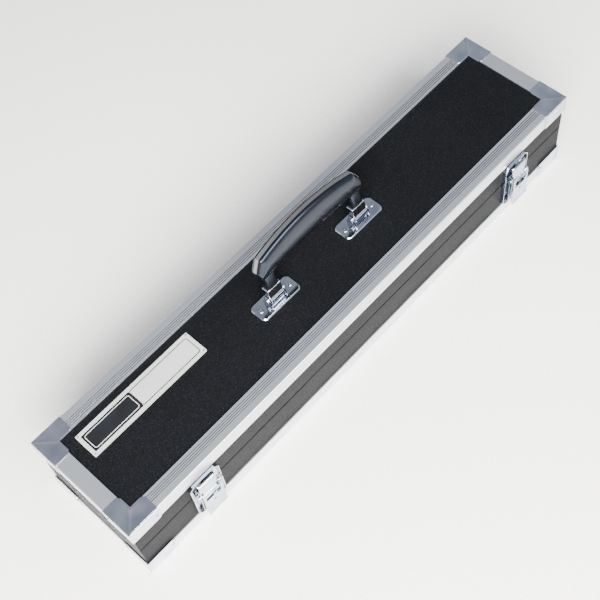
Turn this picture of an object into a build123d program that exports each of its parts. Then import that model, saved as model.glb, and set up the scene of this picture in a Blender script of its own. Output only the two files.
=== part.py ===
from build123d import *
import os

# Long narrow carrying case for kitchen knives: laminated board, metal edge trim,
# pressed corner caps, two draw latches, two butt hinges and a folding handle.
# Millimetres. Origin on the floor under the middle of the case, X along the case,
# -Y towards the latches, +Z up. The lid is shut and the handle stands up, leaning back.

# Outside of the case over its corner caps
CASE_LENGTH = 500.0
CASE_WIDTH = 107.0
CASE_HEIGHT = 82.6
LID_HEIGHT = 37.9
LID_GAP = 0.4

# Boards, trim and caps
BOARD = 4.5
TRIM_SHEET = 1.0
LONG_TRIM_LEG = 14.4
END_TRIM_LEG = 13.7
TRIM_ROUND = 1.2
GROOVE_COUNT = 4
GROOVE_PITCH = 1.7
GROOVE_WIDTH = 0.7
GROOVE_DEPTH = 0.35
GROOVE_START = 2.6
CAP_SHEET = 0.5
CAP_LEG = 28.0
CAP_OVERLAP = 0.6
CAP_SKIRT = 2.1
CAP_DOG_EAR = 2.5
CAP_ROUND = 1.0

# Nails and rivets
NAIL_HEAD_R = 1.1
NAIL_HEAD = 0.5
NAIL_SHANK_R = 0.6
NAIL_GRIP = 3.0
NAIL_FROM_CORNER = 25.0
NAIL_FROM_EDGE = 10.0
MIDDLE_NAIL_X = 1.5
RIVET_HEAD_R = 2.0
RIVET_HEAD = 0.8
RIVET_SHANK_R = 1.2
FASTENER_FIT = 0.05
HEAD_ROUND = 0.3

# Rim inside the base that the lid closes over
RIM_THICKNESS = 3.0
RIM_DEPTH = 20.0
RIM_RISE = 4.0
RIM_FIT = 0.6

# Foam inside
FLOOR_PAD = 5.0
LID_PAD = 8.0
PAD_FIT = 0.3
REST_HEIGHT = 22.0
BLADE_REST_FROM_END = 100.0
BLADE_REST_LENGTH = 30.0
BLADE_SLOT = 7.0
BLADE_SLOT_DEPTH = 15.0
HANDLE_REST_FROM_END = 130.0
HANDLE_REST_LENGTH = 40.0
HANDLE_SLOT = 15.0
HANDLE_SLOT_DEPTH = 14.0
KNIFE_COUNT = 3
KNIFE_PITCH = 27.0

# Name plate
PLATE_LENGTH = 113.4
PLATE_WIDTH = 23.2
PLATE_THICKNESS = 0.9
PLATE_FROM_END = 24.6
PLATE_FROM_BACK = 21.7
PLATE_BORDER = 3.0
PLATE_RECESS = 0.2
PLATE_CORNER_R = 0.8
PLATE_LEFT_FIELD = 47.2
PLATE_DIVIDER = 0.8
PIN_INSET = 1.6
PIN_HEAD_R = 0.8
PIN_HEAD = 0.3
PIN_SHANK_R = 0.5
PIN_LENGTH = 3.2

# Handle and its brackets
HANDLE_SHIFT = 1.5
HANDLE_SPACING = 95.5
HANDLE_LEAN = 11.5
PIVOT_ABOVE_PANEL = 7.5
BRACKET_LENGTH = 41.7
BRACKET_WIDTH = 17.8
BRACKET_HEIGHT = 1.8
BRACKET_BEVEL = 0.9
BRACKET_DOG_EAR = 3.0
BRACKET_RIVETS = 31.4
EAR_SHEET = 1.2
EAR_R = 3.2
EAR_FOOT = 10.4
LUG_WIDTH = 14.0
LUG_SIDE_FIT = 0.4
LUG_R = 4.4
LUG_THICKNESS = 6.8
TONGUE_WIDTH = 9.0
TONGUE_THICKNESS = 3.4
TONGUE_REACH = 24.0
HANDLE_PIN_R = 1.5
HANDLE_PIN_HEAD_R = 2.4
HANDLE_PIN_HEAD = 0.8
RUNNING_FIT = 0.06
NECK_WIDTH = 12.0
NECK_THICKNESS = 8.4
NECK_ROUND = 2.1
NECK_START = 12.0
GRIP_BOTTOM = 26.0
GRIP_BOTTOM_RISE = 2.0
GRIP_CORNER_R = 44.5
GRIP_TOP_R = 52.4
GRIP_HALF_BOTTOM = 54.6
GRIP_HALF_WAIST = 56.7
GRIP_WAIST_R = 34.7
GRIP_HALF_TOP = 50.9
GRIP_THICKNESS = 12.0
GRIP_FOOT_THICKNESS = 8.0
GRIP_TOP_THICKNESS = 5.0
GRIP_BULGE_R = 33.0
STRIP_WIDTH = 3.4
STRIP_DEPTH = 0.7
STRIP_PROUD = 0.15

# Latches, measured out from the front panel and up or down from the split or the trim
LATCH_FROM_END = 67.6
LATCH_WIDTH = 28.8
LATCH_ABOVE_TRIM = 1.7
LATCH_BELOW_TRIM = 1.3
LATCH_SHEET = 0.8
LATCH_RIM = 3.6
LATCH_DOG_EAR = 3.5
LATCH_SPLIT_GAP = 0.5
LATCH_SIDE_FIT = 0.4
LEVER_PIVOT_OUT = 5.4
LEVER_PIVOT_UP = 4.5
LEVER_PIVOT_R = 1.2
PIVOT_HEAD_R = 2.0
PIVOT_HEAD = 0.6
CHEEK_TOP_R = 2.8
CHEEK_FOOT_OUT = 6.4
CHEEK_FOOT_UP = 7.4
CHEEK_CLEAR = 1.6
LEVER_WIDTH = 19.0
LEVER_SHEET = 0.9
LEVER_FACE_OUT = 9.1
LEVER_TAIL_OUT = 10.3
LEVER_TAIL_UP = 3.4
LEVER_TAIL = 7.0
LEVER_EAR_R = 3.6
LEVER_FLANGE_BACK = 2.4
LEVER_FLANGE_UP = 10.9
SLOT_FIT = 0.3
SLOT_DOWN = 5.0
KEYHOLE_R = 1.2
KEYHOLE_DOWN = 9.5
CLAW_DRAW_BACK = 1.2
CLAW_DRAW = 7.0
CLAW_WIDTH = 14.0
CLAW_SHEET = 0.9
CLAW_BARREL_R = 1.7
CLAW_PIN_R = 0.8
CLAW_ABOVE_CATCH = 3.7
CATCH_WIDTH = 8.0
CATCH_DOWN = 7.1
CATCH_SHEET = 1.0
CATCH_REACH = 5.8
CATCH_FIT = 0.3
WINDOW_SIDE_FIT = 0.4
WINDOW_DROP = 0.7
KEEPER_RIVET_X = 10.6
KEEPER_RIVET_DOWN = 5.4
BASE_RIVET_X = 5.5
BASE_RIVET_UP = 5.4
BASE_RIVET_PITCH = 6.6

# Hinges
HINGE_FROM_END = 70.0
HINGE_WIDTH = 34.0
HINGE_LEAF = 19.0
HINGE_SHEET = 1.2
HINGE_BARREL_R = 2.5
HINGE_PIN_R = 1.2
HINGE_OUT = 3.0
HINGE_KNUCKLES = 5
KNUCKLE_GAP = 0.3
HINGE_RIVET_X = 11.0
HINGE_RIVET_Z = 13.0

# Places worked out from the sizes above
HALF_L = CASE_LENGTH / 2 - CAP_SHEET - TRIM_SHEET
HALF_W = CASE_WIDTH / 2 - CAP_SHEET - TRIM_SHEET
PANEL_BOTTOM = CAP_SHEET + TRIM_SHEET
PANEL_TOP = CASE_HEIGHT - CAP_SHEET - TRIM_SHEET
BASE_HEIGHT = CASE_HEIGHT - LID_HEIGHT - LID_GAP
LID_BOTTOM = BASE_HEIGHT + LID_GAP
SPLIT_Z = BASE_HEIGHT + LID_GAP / 2
INNER_L = HALF_L - BOARD
INNER_W = HALF_W - BOARD
FLOOR_Z = PANEL_BOTTOM + BOARD
CEILING_Z = PANEL_TOP - BOARD
REST_FLOOR_Z = FLOOR_Z + FLOOR_PAD
RIM_TOP_Z = BASE_HEIGHT + RIM_RISE
RIM_BOTTOM_Z = BASE_HEIGHT - RIM_DEPTH
PIVOT_Z = PANEL_TOP + PIVOT_ABOVE_PANEL
BRACKET_TOP = PANEL_TOP + BRACKET_HEIGHT
BRACKET_CENTRES = [HANDLE_SHIFT - HANDLE_SPACING / 2, HANDLE_SHIFT + HANDLE_SPACING / 2]
LATCH_CENTRES = {"left": LATCH_FROM_END - CASE_LENGTH / 2, "right": CASE_LENGTH / 2 - LATCH_FROM_END}
HINGE_CENTRES = {"left": HINGE_FROM_END - CASE_LENGTH / 2, "right": CASE_LENGTH / 2 - HINGE_FROM_END}
BLADE_REST_X = BLADE_REST_FROM_END - CASE_LENGTH / 2
HANDLE_REST_X = CASE_LENGTH / 2 - HANDLE_REST_FROM_END
PLATE_X = PLATE_FROM_END + (PLATE_LENGTH - CASE_LENGTH) / 2
PLATE_Y = (CASE_WIDTH - PLATE_WIDTH) / 2 - PLATE_FROM_BACK
LATCH_BOTTOM = CAP_SHEET + LONG_TRIM_LEG + LATCH_ABOVE_TRIM
LATCH_TOP = CASE_HEIGHT - CAP_SHEET - LONG_TRIM_LEG - LATCH_BELOW_TRIM
LEVER_PIVOT_Z = SPLIT_Z + LEVER_PIVOT_UP
CHEEK_BOTTOM = LATCH_BOTTOM + CHEEK_FOOT_UP
LEVER_TAIL_Z = LATCH_BOTTOM + LEVER_TAIL_UP
LEVER_BEND_Z = LEVER_TAIL_Z + LEVER_TAIL
LEVER_FLANGE_END = LATCH_BOTTOM + LEVER_FLANGE_UP
SLOT_BOTTOM_Z = SPLIT_Z - SLOT_DOWN
KEYHOLE_Z = SPLIT_Z - KEYHOLE_DOWN
CATCH_Z = LATCH_TOP - CATCH_DOWN
CLAW_TOP_Z = CATCH_Z + CLAW_ABOVE_CATCH
KEEPER_RIVET_Z = LATCH_TOP - KEEPER_RIVET_DOWN
BASE_RIVET_ROWS = (LATCH_BOTTOM + BASE_RIVET_UP, LATCH_BOTTOM + BASE_RIVET_UP + BASE_RIVET_PITCH)
HINGE_Z = SPLIT_Z
HINGE_Y = HALF_W + HINGE_OUT
CLAW_PIVOT_OUT = LEVER_PIVOT_OUT - CLAW_DRAW_BACK
CLAW_PIVOT_Z = LEVER_PIVOT_Z - CLAW_DRAW
SIDE_X = {"left": -1, "right": 1}
SIDE_Y = {"front": -1, "back": 1}
CAP_WIDTH = CAP_SHEET + LONG_TRIM_LEG + CAP_OVERLAP
CAP_DROP = CAP_SHEET + LONG_TRIM_LEG + CAP_SKIRT
CHEEK_CENTRE = LEVER_WIDTH / 2 + LATCH_SIDE_FIT + LATCH_SHEET / 2
BOTTOM_CENTRE = (Align.CENTER, Align.CENTER, Align.MIN)


def block(x0, x1, y0, y1, z0, z1):
    """A box between two corners."""
    centre = ((x0 + x1) / 2, (y0 + y1) / 2, (z0 + z1) / 2)
    return Pos(*centre) * Box(x1 - x0, y1 - y0, z1 - z0)


def rod_x(radius, x0, x1, y, z):
    """A cylinder along X."""
    return Pos((x0 + x1) / 2, y, z) * Rot(0, 90, 0) * Cylinder(radius, x1 - x0)


def side_plate(points, x0, x1):
    """A plate cut to points (y, z), as thick as x0 to x1."""
    face = Plane.YZ * make_face(Polyline(*points, close=True))
    return Pos(x0, 0, 0) * extrude(face, amount=x1 - x0)


def aim(direction):
    """Turn +Z to point along one of the row's axes."""
    turns = {"+x": Rot(0, 90, 0), "-x": Rot(0, -90, 0), "+y": Rot(-90, 0, 0), "-y": Rot(90, 0, 0),
             "+z": Rot(0, 0, 0), "-z": Rot(180, 0, 0)}
    return turns[direction]


def stud(place, direction, head_r, head, shank_r, depth):
    """A nail or pin: its head rests on place and its shank goes in against direction."""
    top = Cylinder(head_r, head, align=BOTTOM_CENTRE)
    rim = top.edges().sort_by(Axis.Z)[-1]
    cap = fillet(rim, min(HEAD_ROUND, head / 2))
    shank = Pos(0, 0, -depth) * Cylinder(shank_r, depth, align=BOTTOM_CENTRE)
    return Pos(*place) * aim(direction) * (cap + shank)


def rivet(place, direction, depth):
    """A rivet with a head outside and a clinched end inside, depth apart."""
    tail = Pos(0, 0, -depth - RIVET_HEAD) * Cylinder(RIVET_HEAD_R, RIVET_HEAD, align=BOTTOM_CENTRE)
    body = stud((0, 0, 0), "+z", RIVET_HEAD_R, RIVET_HEAD, RIVET_SHANK_R, depth)
    return Pos(*place) * aim(direction) * (body + tail)


def hole(place, direction, shank_r, depth):
    """The clearance hole for a stud or a rivet."""
    cutter = Pos(0, 0, -depth) * Cylinder(shank_r + FASTENER_FIT, 2 * depth, align=BOTTOM_CENTRE)
    return Pos(*place) * aim(direction) * cutter


def group(solids):
    """Separate like solids as one node."""
    return Compound(children=[s for s in solids])


# Edge trim

def trim_section(leg, grooved):
    """Equal angle section: corner at the origin, flange along +X on top, the other leg down."""
    outline = [(0, 0), (leg, 0), (leg, -TRIM_SHEET), (TRIM_SHEET, -TRIM_SHEET),
               (TRIM_SHEET, -leg), (0, -leg)]
    face = make_face(Polyline(*outline, close=True))
    if grooved:
        for n in range(GROOVE_COUNT):
            at = leg - GROOVE_START - n * GROOVE_PITCH
            face -= Pos(at, 0) * Rectangle(GROOVE_WIDTH, 2 * GROOVE_DEPTH)
    corner = face.vertices().sort_by_distance((0, 0))[0]
    return fillet(corner, TRIM_ROUND)


def trim(run, reach, leg, next_leg, grooved):
    """A mitred trim along X at the front top edge: run is half its length, reach its outer Y."""
    section = Plane.YZ * trim_section(leg, grooved)
    bar = Pos(-run, 0, 0) * extrude(section, amount=2 * run)
    mitre = make_face(Polyline((-run, 0), (run, 0), (run - next_leg, leg), (next_leg - run, leg),
                               close=True))
    wedge = Pos(0, 0, -leg) * extrude(mitre, amount=leg)
    return Pos(0, -reach, 0) * (bar & wedge)


def four_trims(upside_down):
    """The four mitred trims of one half, by side name."""
    run_x = HALF_L + TRIM_SHEET
    run_y = HALF_W + TRIM_SHEET
    long_bar = trim(run_x, run_y, LONG_TRIM_LEG, END_TRIM_LEG, True)
    short_bar = trim(run_y, run_x, END_TRIM_LEG, LONG_TRIM_LEG, False)
    placed = {"front": long_bar, "back": Rot(0, 0, 180) * long_bar,
              "left": Rot(0, 0, -90) * short_bar, "right": Rot(0, 0, 90) * short_bar}
    if upside_down:
        return {side: Pos(0, 0, CAP_SHEET) * mirror(bar, Plane.XY) for side, bar in placed.items()}
    return {side: Pos(0, 0, CASE_HEIGHT - CAP_SHEET) * bar for side, bar in placed.items()}


# Corner caps

def corner_cap():
    """A pressed cap whose outer corner is the origin, with its sheet towards +X, +Y and -Z."""
    width = CAP_WIDTH
    drop = CAP_DROP
    outer = block(0, CAP_LEG, 0, CAP_LEG, -drop, 0)
    edges = outer.edges().sort_by_distance((0, 0, 0))[0:3]
    outer = fillet(edges, CAP_ROUND)
    cap = outer - block(CAP_SHEET, CAP_LEG, CAP_SHEET, CAP_LEG, -drop, -CAP_SHEET)
    cap -= block(width, CAP_LEG, width, CAP_LEG, -CAP_SHEET, 0)
    ear = CAP_DOG_EAR
    flat_ear = make_face(Polyline((CAP_LEG, width), (CAP_LEG, width - ear), (CAP_LEG - ear, width),
                                  close=True))
    flat_cut = Pos(0, 0, -CAP_SHEET) * extrude(flat_ear, amount=CAP_SHEET)
    side_ear = Plane.XZ * make_face(Polyline((CAP_LEG, -drop), (CAP_LEG, ear - drop),
                                             (CAP_LEG - ear, -drop), close=True))
    side_cut = extrude(side_ear, amount=-CAP_SHEET)
    swap = Plane((0, 0, 0), x_dir=(0, 0, 1), z_dir=(1, -1, 0))
    for cut in (flat_cut, side_cut):
        cap -= cut
        cap -= mirror(cut, swap)
    return cap


def four_caps(upside_down):
    """The four corner caps of one half, by corner name."""
    cap = corner_cap()
    caps = {}
    for end, sx in SIDE_X.items():
        for face, sy in SIDE_Y.items():
            placed = cap
            if sx > 0:
                placed = mirror(placed, Plane.YZ)
            if sy > 0:
                placed = mirror(placed, Plane.XZ)
            if upside_down:
                placed = mirror(placed, Plane.XY)
            height = 0 if upside_down else CASE_HEIGHT
            caps[face + "_" + end] = Pos(sx * CASE_LENGTH / 2, sy * CASE_WIDTH / 2, height) * placed
    return caps


# Fastener places: (place of the head's underside, direction the head faces)

def nail_places(upside_down):
    """Cap nails on every face beside each corner, and one mid-length on each long trim leg."""
    z = NAIL_FROM_EDGE if upside_down else CASE_HEIGHT - NAIL_FROM_EDGE
    along = CASE_LENGTH / 2 - NAIL_FROM_CORNER
    across = CASE_WIDTH / 2 - NAIL_FROM_CORNER
    places = []
    for sy, facing in ((-1, "-y"), (1, "+y")):
        for sx in (-1, 1):
            places.append(((sx * along, sy * CASE_WIDTH / 2, z), facing))
        places.append(((MIDDLE_NAIL_X, sy * (CASE_WIDTH / 2 - CAP_SHEET), z), facing))
    for sx, facing in ((-1, "-x"), (1, "+x")):
        for sy in (-1, 1):
            places.append(((sx * CASE_LENGTH / 2, sy * across, z), facing))
    return places


NAIL_DEPTH = CAP_SHEET + TRIM_SHEET + NAIL_GRIP


def nails(upside_down):
    """All nails of one half."""
    return [stud(place, facing, NAIL_HEAD_R, NAIL_HEAD, NAIL_SHANK_R, NAIL_DEPTH)
            for place, facing in nail_places(upside_down)]


def nail_holes(upside_down):
    """The holes that the nails of one half make."""
    return [hole(place, facing, NAIL_SHANK_R, NAIL_DEPTH) for place, facing in nail_places(upside_down)]


def bracket_rivet_places():
    """Two rivets along each handle bracket."""
    return [((x + s * BRACKET_RIVETS / 2, 0, BRACKET_TOP), "+z") for x in BRACKET_CENTRES for s in (-1, 1)]


def keeper_rivet_places():
    """Two rivets in the top corners of each keeper."""
    y = -HALF_W - LATCH_SHEET
    return [((x + s * KEEPER_RIVET_X, y, KEEPER_RIVET_Z), "-y")
            for x in LATCH_CENTRES.values() for s in (-1, 1)]


def latch_base_rivet_places():
    """Four rivets under the lever of each latch."""
    y = -HALF_W - LATCH_SHEET
    return [((x + s * BASE_RIVET_X, y, z), "-y")
            for x in LATCH_CENTRES.values() for s in (-1, 1) for z in BASE_RIVET_ROWS]


def hinge_rivet_places(up):
    """Two rivets in each hinge leaf; up is 1 for the lid and -1 for the base."""
    y = HALF_W + HINGE_SHEET
    return [((x + s * HINGE_RIVET_X, y, HINGE_Z + up * HINGE_RIVET_Z), "+y")
            for x in HINGE_CENTRES.values() for s in (-1, 1)]


LATCH_RIVET_DEPTH = BOARD + LATCH_SHEET
HINGE_RIVET_DEPTH = BOARD + HINGE_SHEET
BRACKET_RIVET_DEPTH = BOARD + BRACKET_HEIGHT


def rivets(places, depth):
    """Rivets at the places."""
    return [rivet(place, facing, depth) for place, facing in places]


def rivet_holes(places, depth):
    """Holes for rivets at the places."""
    return [hole(place, facing, RIVET_SHANK_R, depth) for place, facing in places]


# Boards

def side_boards(z0, z1, cutters):
    """Front, back and end boards of one half."""
    boards = {
        "front": block(-HALF_L, HALF_L, -HALF_W, -INNER_W, z0, z1),
        "back": block(-HALF_L, HALF_L, INNER_W, HALF_W, z0, z1),
        "left": block(-HALF_L, -INNER_L, -INNER_W, INNER_W, z0, z1),
        "right": block(INNER_L, HALF_L, -INNER_W, INNER_W, z0, z1),
    }
    return {side: drilled(board, cutters) for side, board in boards.items()}


def drilled(solid, cutters):
    """The solid less each cutter that meets it."""
    box = solid.bounding_box()
    low = tuple(box.min)
    high = tuple(box.max)
    for cutter in cutters:
        other = cutter.bounding_box()
        starts = all(a < b for a, b in zip(tuple(other.min), high))
        ends = all(a > b for a, b in zip(tuple(other.max), low))
        if starts and ends:
            solid = solid - cutter
    return solid


def inner_rim():
    """A frame glued inside the base, standing up into the lid."""
    frame = block(-INNER_L, INNER_L, -INNER_W, INNER_W, RIM_BOTTOM_Z, BASE_HEIGHT)
    frame += block(-INNER_L + RIM_FIT, INNER_L - RIM_FIT, -INNER_W + RIM_FIT, INNER_W - RIM_FIT,
                   BASE_HEIGHT, RIM_TOP_Z)
    hollow = block(-INNER_L + RIM_THICKNESS, INNER_L - RIM_THICKNESS,
                   -INNER_W + RIM_THICKNESS, INNER_W - RIM_THICKNESS, RIM_BOTTOM_Z, RIM_TOP_Z)
    frame -= hollow
    pocket = RIVET_HEAD_R + FASTENER_FIT
    for (x, _, z), facing in latch_base_rivet_places() + hinge_rivet_places(-1):
        inward = -1 if facing == "-y" else 1
        face = inward * INNER_W
        reach = RIVET_HEAD + FASTENER_FIT
        frame -= Pos(x, face, z) * Rot(90, 0, 0) * Cylinder(pocket, 2 * reach)
    return frame


# Foam

def floor_pad():
    """Flat foam on the floor of the base."""
    x = INNER_L - PAD_FIT
    y = INNER_W - PAD_FIT
    return block(-x, x, -y, y, FLOOR_Z, REST_FLOOR_Z)


def lid_pad():
    """Flat foam under the lid's top board, let in over the rivet ends."""
    x = INNER_L - PAD_FIT
    y = INNER_W - PAD_FIT
    pad = block(-x, x, -y, y, CEILING_Z - LID_PAD, CEILING_Z)
    for (rx, ry, _), _ in bracket_rivet_places():
        pad -= Pos(rx, ry, CEILING_Z) * Cylinder(RIVET_HEAD_R + PAD_FIT, 2 * (RIVET_HEAD + PAD_FIT))
    return pad


def knife_rest(x, length, slot, depth):
    """A foam block across the base with one slot for each knife."""
    y = INNER_W - RIM_THICKNESS - PAD_FIT
    top = REST_FLOOR_Z + REST_HEIGHT
    rest = block(x - length / 2, x + length / 2, -y, y, REST_FLOOR_Z, top)
    for n in range(KNIFE_COUNT):
        at = (n - (KNIFE_COUNT - 1) / 2) * KNIFE_PITCH
        rest -= block(x - length, x + length, at - slot / 2, at + slot / 2, top - depth, top + depth)
    return rest


# Name plate

def plate_pin_places():
    """A small pin in each corner of the plate."""
    dx = PLATE_LENGTH / 2 - PIN_INSET
    dy = PLATE_WIDTH / 2 - PIN_INSET
    top = PANEL_TOP + PLATE_THICKNESS
    return [((PLATE_X + sx * dx, PLATE_Y + sy * dy, top), "+z") for sx in (-1, 1) for sy in (-1, 1)]


def name_plate(cutters):
    """A thin plate with a raised border and two sunk blank fields."""
    plate = Pos(PLATE_X, PLATE_Y, PANEL_TOP) * extrude(
        RectangleRounded(PLATE_LENGTH, PLATE_WIDTH, PLATE_CORNER_R), amount=PLATE_THICKNESS)
    left = PLATE_X - PLATE_LENGTH / 2 + PLATE_BORDER
    right = PLATE_X + PLATE_LENGTH / 2 - PLATE_BORDER
    split = left + PLATE_LEFT_FIELD
    y = PLATE_WIDTH / 2 - PLATE_BORDER
    z = PANEL_TOP + PLATE_THICKNESS
    for x0, x1 in ((left, split - PLATE_DIVIDER / 2), (split + PLATE_DIVIDER / 2, right)):
        plate -= block(x0, x1, PLATE_Y - y, PLATE_Y + y, z - PLATE_RECESS, z + PLATE_RECESS)
    return drilled(plate, cutters)


# Handle

def bracket(x):
    """A bevelled plate with two ears that carry the handle pin."""
    hx = BRACKET_LENGTH / 2
    hy = BRACKET_WIDTH / 2
    ear = BRACKET_DOG_EAR
    outline = [(-hx + ear, -hy), (hx - ear, -hy), (hx, -hy + ear), (hx, hy - ear),
               (hx - ear, hy), (-hx + ear, hy), (-hx, hy - ear), (-hx, -hy + ear)]
    plate = Pos(x, 0, PANEL_TOP) * extrude(make_face(Polyline(*outline, close=True)), BRACKET_HEIGHT)
    rim = plate.edges().filter_by(lambda e: e.center().Z > BRACKET_TOP - BRACKET_BEVEL / 2)
    plate = chamfer(rim, BRACKET_BEVEL)
    inner = LUG_WIDTH / 2 + LUG_SIDE_FIT
    for side in (-1, 1):
        x0 = x + side * inner
        x1 = x + side * (inner + EAR_SHEET)
        low, high = min(x0, x1), max(x0, x1)
        foot = side_plate([(-EAR_FOOT / 2, BRACKET_TOP), (EAR_FOOT / 2, BRACKET_TOP),
                           (EAR_R, PIVOT_Z), (-EAR_R, PIVOT_Z)], low, high)
        plate += foot + rod_x(EAR_R, low, high, 0, PIVOT_Z)
    plate -= rod_x(HANDLE_PIN_R + FASTENER_FIT, x - BRACKET_LENGTH / 2, x + BRACKET_LENGTH / 2, 0, PIVOT_Z)
    return drilled(plate, rivet_holes(bracket_rivet_places(), BRACKET_RIVET_DEPTH))


def handle_pin(x):
    """The pin through both ears, headed at each end."""
    half = LUG_WIDTH / 2 + LUG_SIDE_FIT + EAR_SHEET
    pin = rod_x(HANDLE_PIN_R, x - half, x + half, 0, PIVOT_Z)
    for side in (-1, 1):
        x0 = x + side * half
        x1 = x + side * (half + HANDLE_PIN_HEAD)
        pin += rod_x(HANDLE_PIN_HEAD_R, min(x0, x1), max(x0, x1), 0, PIVOT_Z)
    return pin


def lean(solid):
    """Lean a piece drawn upright over the handle pin back to its place."""
    return Pos(0, 0, PIVOT_Z) * Rot(-HANDLE_LEAN, 0, 0) * solid


def lug(x):
    """A metal eye on the pin, with a tongue up into the neck of the grip."""
    eye = rod_x(LUG_R, x - LUG_WIDTH / 2, x + LUG_WIDTH / 2, 0, 0)
    half = TONGUE_THICKNESS / 2
    eye += block(x - TONGUE_WIDTH / 2, x + TONGUE_WIDTH / 2, -half, half, 0, TONGUE_REACH)
    collar = LUG_THICKNESS / 2
    eye += block(x - LUG_WIDTH / 2, x + LUG_WIDTH / 2, -collar, collar, 0, NECK_START)
    eye -= rod_x(HANDLE_PIN_R + RUNNING_FIT, x - LUG_WIDTH, x + LUG_WIDTH, 0, 0)
    return lean(eye)


def grip_silhouette():
    """The grip seen from the front: flat bottom, sloping ends, arched top."""
    bottom = [(-GRIP_HALF_WAIST, GRIP_WAIST_R), (-GRIP_HALF_BOTTOM, GRIP_BOTTOM)]
    ends = [(-GRIP_HALF_TOP, GRIP_CORNER_R), (-GRIP_HALF_WAIST, GRIP_WAIST_R)]
    left = Polyline(ends[0], ends[1], bottom[1])
    right = Polyline(*[(-a, b) for a, b in (ends[0], ends[1], bottom[1])])
    top = ThreePointArc(ends[0], (0, GRIP_TOP_R), (GRIP_HALF_TOP, GRIP_CORNER_R))
    under = ThreePointArc(bottom[1], (0, GRIP_BOTTOM + GRIP_BOTTOM_RISE), (GRIP_HALF_BOTTOM, GRIP_BOTTOM))
    return make_face(left.edges() + right.edges() + top.edges() + under.edges())


def grip_section():
    """The grip seen from its end: widest low down, narrow along the top."""
    foot = GRIP_FOOT_THICKNESS / 2
    wide = GRIP_THICKNESS / 2
    crown = GRIP_TOP_THICKNESS / 2
    high = GRIP_TOP_R + STRIP_PROUD
    front = ThreePointArc((-foot, GRIP_BOTTOM), (-wide, GRIP_BULGE_R), (-crown, high))
    back = ThreePointArc((foot, GRIP_BOTTOM), (wide, GRIP_BULGE_R), (crown, high))
    base = Line((-foot, GRIP_BOTTOM), (foot, GRIP_BOTTOM))
    top = Line((-crown, high), (crown, high))
    return make_face(front.edges() + back.edges() + base.edges() + top.edges())


def strip_ring():
    """The band along the top and both sloping ends of the grip, in its silhouette."""
    outer = offset(grip_silhouette(), STRIP_PROUD, kind=Kind.INTERSECTION)
    inner = offset(grip_silhouette(), STRIP_PROUD - STRIP_DEPTH, kind=Kind.INTERSECTION)
    below = Pos(0, GRIP_WAIST_R / 2) * Rectangle(4 * GRIP_HALF_WAIST, GRIP_WAIST_R)
    return outer - inner - below


def across(face, width):
    """A face drawn in X and Z, as thick as width, centred on the handle's own plane."""
    return Pos(HANDLE_SHIFT, width / 2, 0) * extrude(Plane.XZ * face, amount=width)


def grip_strip():
    """The metallic strip let into the grip."""
    return lean(across(strip_ring(), STRIP_WIDTH))


def grip():
    """The moulded grip with a neck down to each lug and a groove for the strip."""
    section = Plane.YZ * grip_section()
    bar = Pos(HANDLE_SHIFT - GRIP_HALF_WAIST, 0, 0) * extrude(section, amount=2 * GRIP_HALF_WAIST)
    moulding = across(grip_silhouette(), GRIP_THICKNESS + GRIP_TOP_THICKNESS) & bar
    moulding -= across(strip_ring(), STRIP_WIDTH + 2 * FASTENER_FIT)
    for x in BRACKET_CENTRES:
        half_t = NECK_THICKNESS / 2
        neck = block(x - NECK_WIDTH / 2, x + NECK_WIDTH / 2, -half_t, half_t, NECK_START,
                     GRIP_BULGE_R)
        moulding += fillet(neck.edges().filter_by(Axis.Z), NECK_ROUND)
        slot_t = TONGUE_THICKNESS / 2 + FASTENER_FIT
        slot_w = TONGUE_WIDTH / 2 + FASTENER_FIT
        moulding -= block(x - slot_w, x + slot_w, -slot_t, slot_t, 0, TONGUE_REACH + FASTENER_FIT)
    return lean(moulding)


# Latches: drawn about X = 0, out is the distance in front of the panel

def out(distance):
    """The Y of a point that far in front of the panel."""
    return -HALF_W - distance


def tray(z_open, z_shut):
    """A pressed tray with a rim on three sides and cut corners at its shut end."""
    half = LATCH_WIDTH / 2
    way = 1 if z_shut > z_open else -1
    ear = LATCH_DOG_EAR
    outer = [(-half, z_open), (half, z_open), (half, z_shut - way * ear), (half - ear, z_shut),
             (-half + ear, z_shut), (-half, z_shut - way * ear)]
    step = LATCH_SHEET
    inner = [(-half + step, z_open - way), (half - step, z_open - way),
             (half - step, z_shut - way * (ear + step / 2)), (half - ear - step / 2, z_shut - way * step),
             (-half + ear + step / 2, z_shut - way * step), (-half + step, z_shut - way * (ear + step / 2))]
    shell = extrude(Plane.XZ * make_face(Polyline(*outer, close=True)), amount=LATCH_RIM)
    well = extrude(Plane.XZ * make_face(Polyline(*inner, close=True)), amount=LATCH_RIM)
    return Pos(0, out(0), 0) * (shell - Pos(0, -LATCH_SHEET, 0) * well)


def latch_base(x):
    """The lower tray, with two cheeks that carry the lever."""
    top = BASE_HEIGHT - LATCH_SPLIT_GAP
    plate = tray(top, LATCH_BOTTOM)
    back = LATCH_SHEET / 2
    profile = [(out(back), CHEEK_BOTTOM), (out(back), top), (out(CHEEK_CLEAR), top),
               (out(LEVER_PIVOT_OUT - CHEEK_TOP_R), LEVER_PIVOT_Z),
               (out(LEVER_PIVOT_OUT + CHEEK_TOP_R), LEVER_PIVOT_Z), (out(CHEEK_FOOT_OUT), CHEEK_BOTTOM)]
    for side in (-1, 1):
        centre = side * CHEEK_CENTRE
        low = centre - LATCH_SHEET / 2
        high = centre + LATCH_SHEET / 2
        plate += side_plate(profile, low, high)
        plate += rod_x(CHEEK_TOP_R, low, high, out(LEVER_PIVOT_OUT), LEVER_PIVOT_Z)
    bore = LEVER_PIVOT_R + FASTENER_FIT
    plate -= rod_x(bore, -LATCH_WIDTH, LATCH_WIDTH, out(LEVER_PIVOT_OUT), LEVER_PIVOT_Z)
    return drilled(Pos(x, 0, 0) * plate, rivet_holes(latch_base_rivet_places(), LATCH_RIVET_DEPTH))


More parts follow.
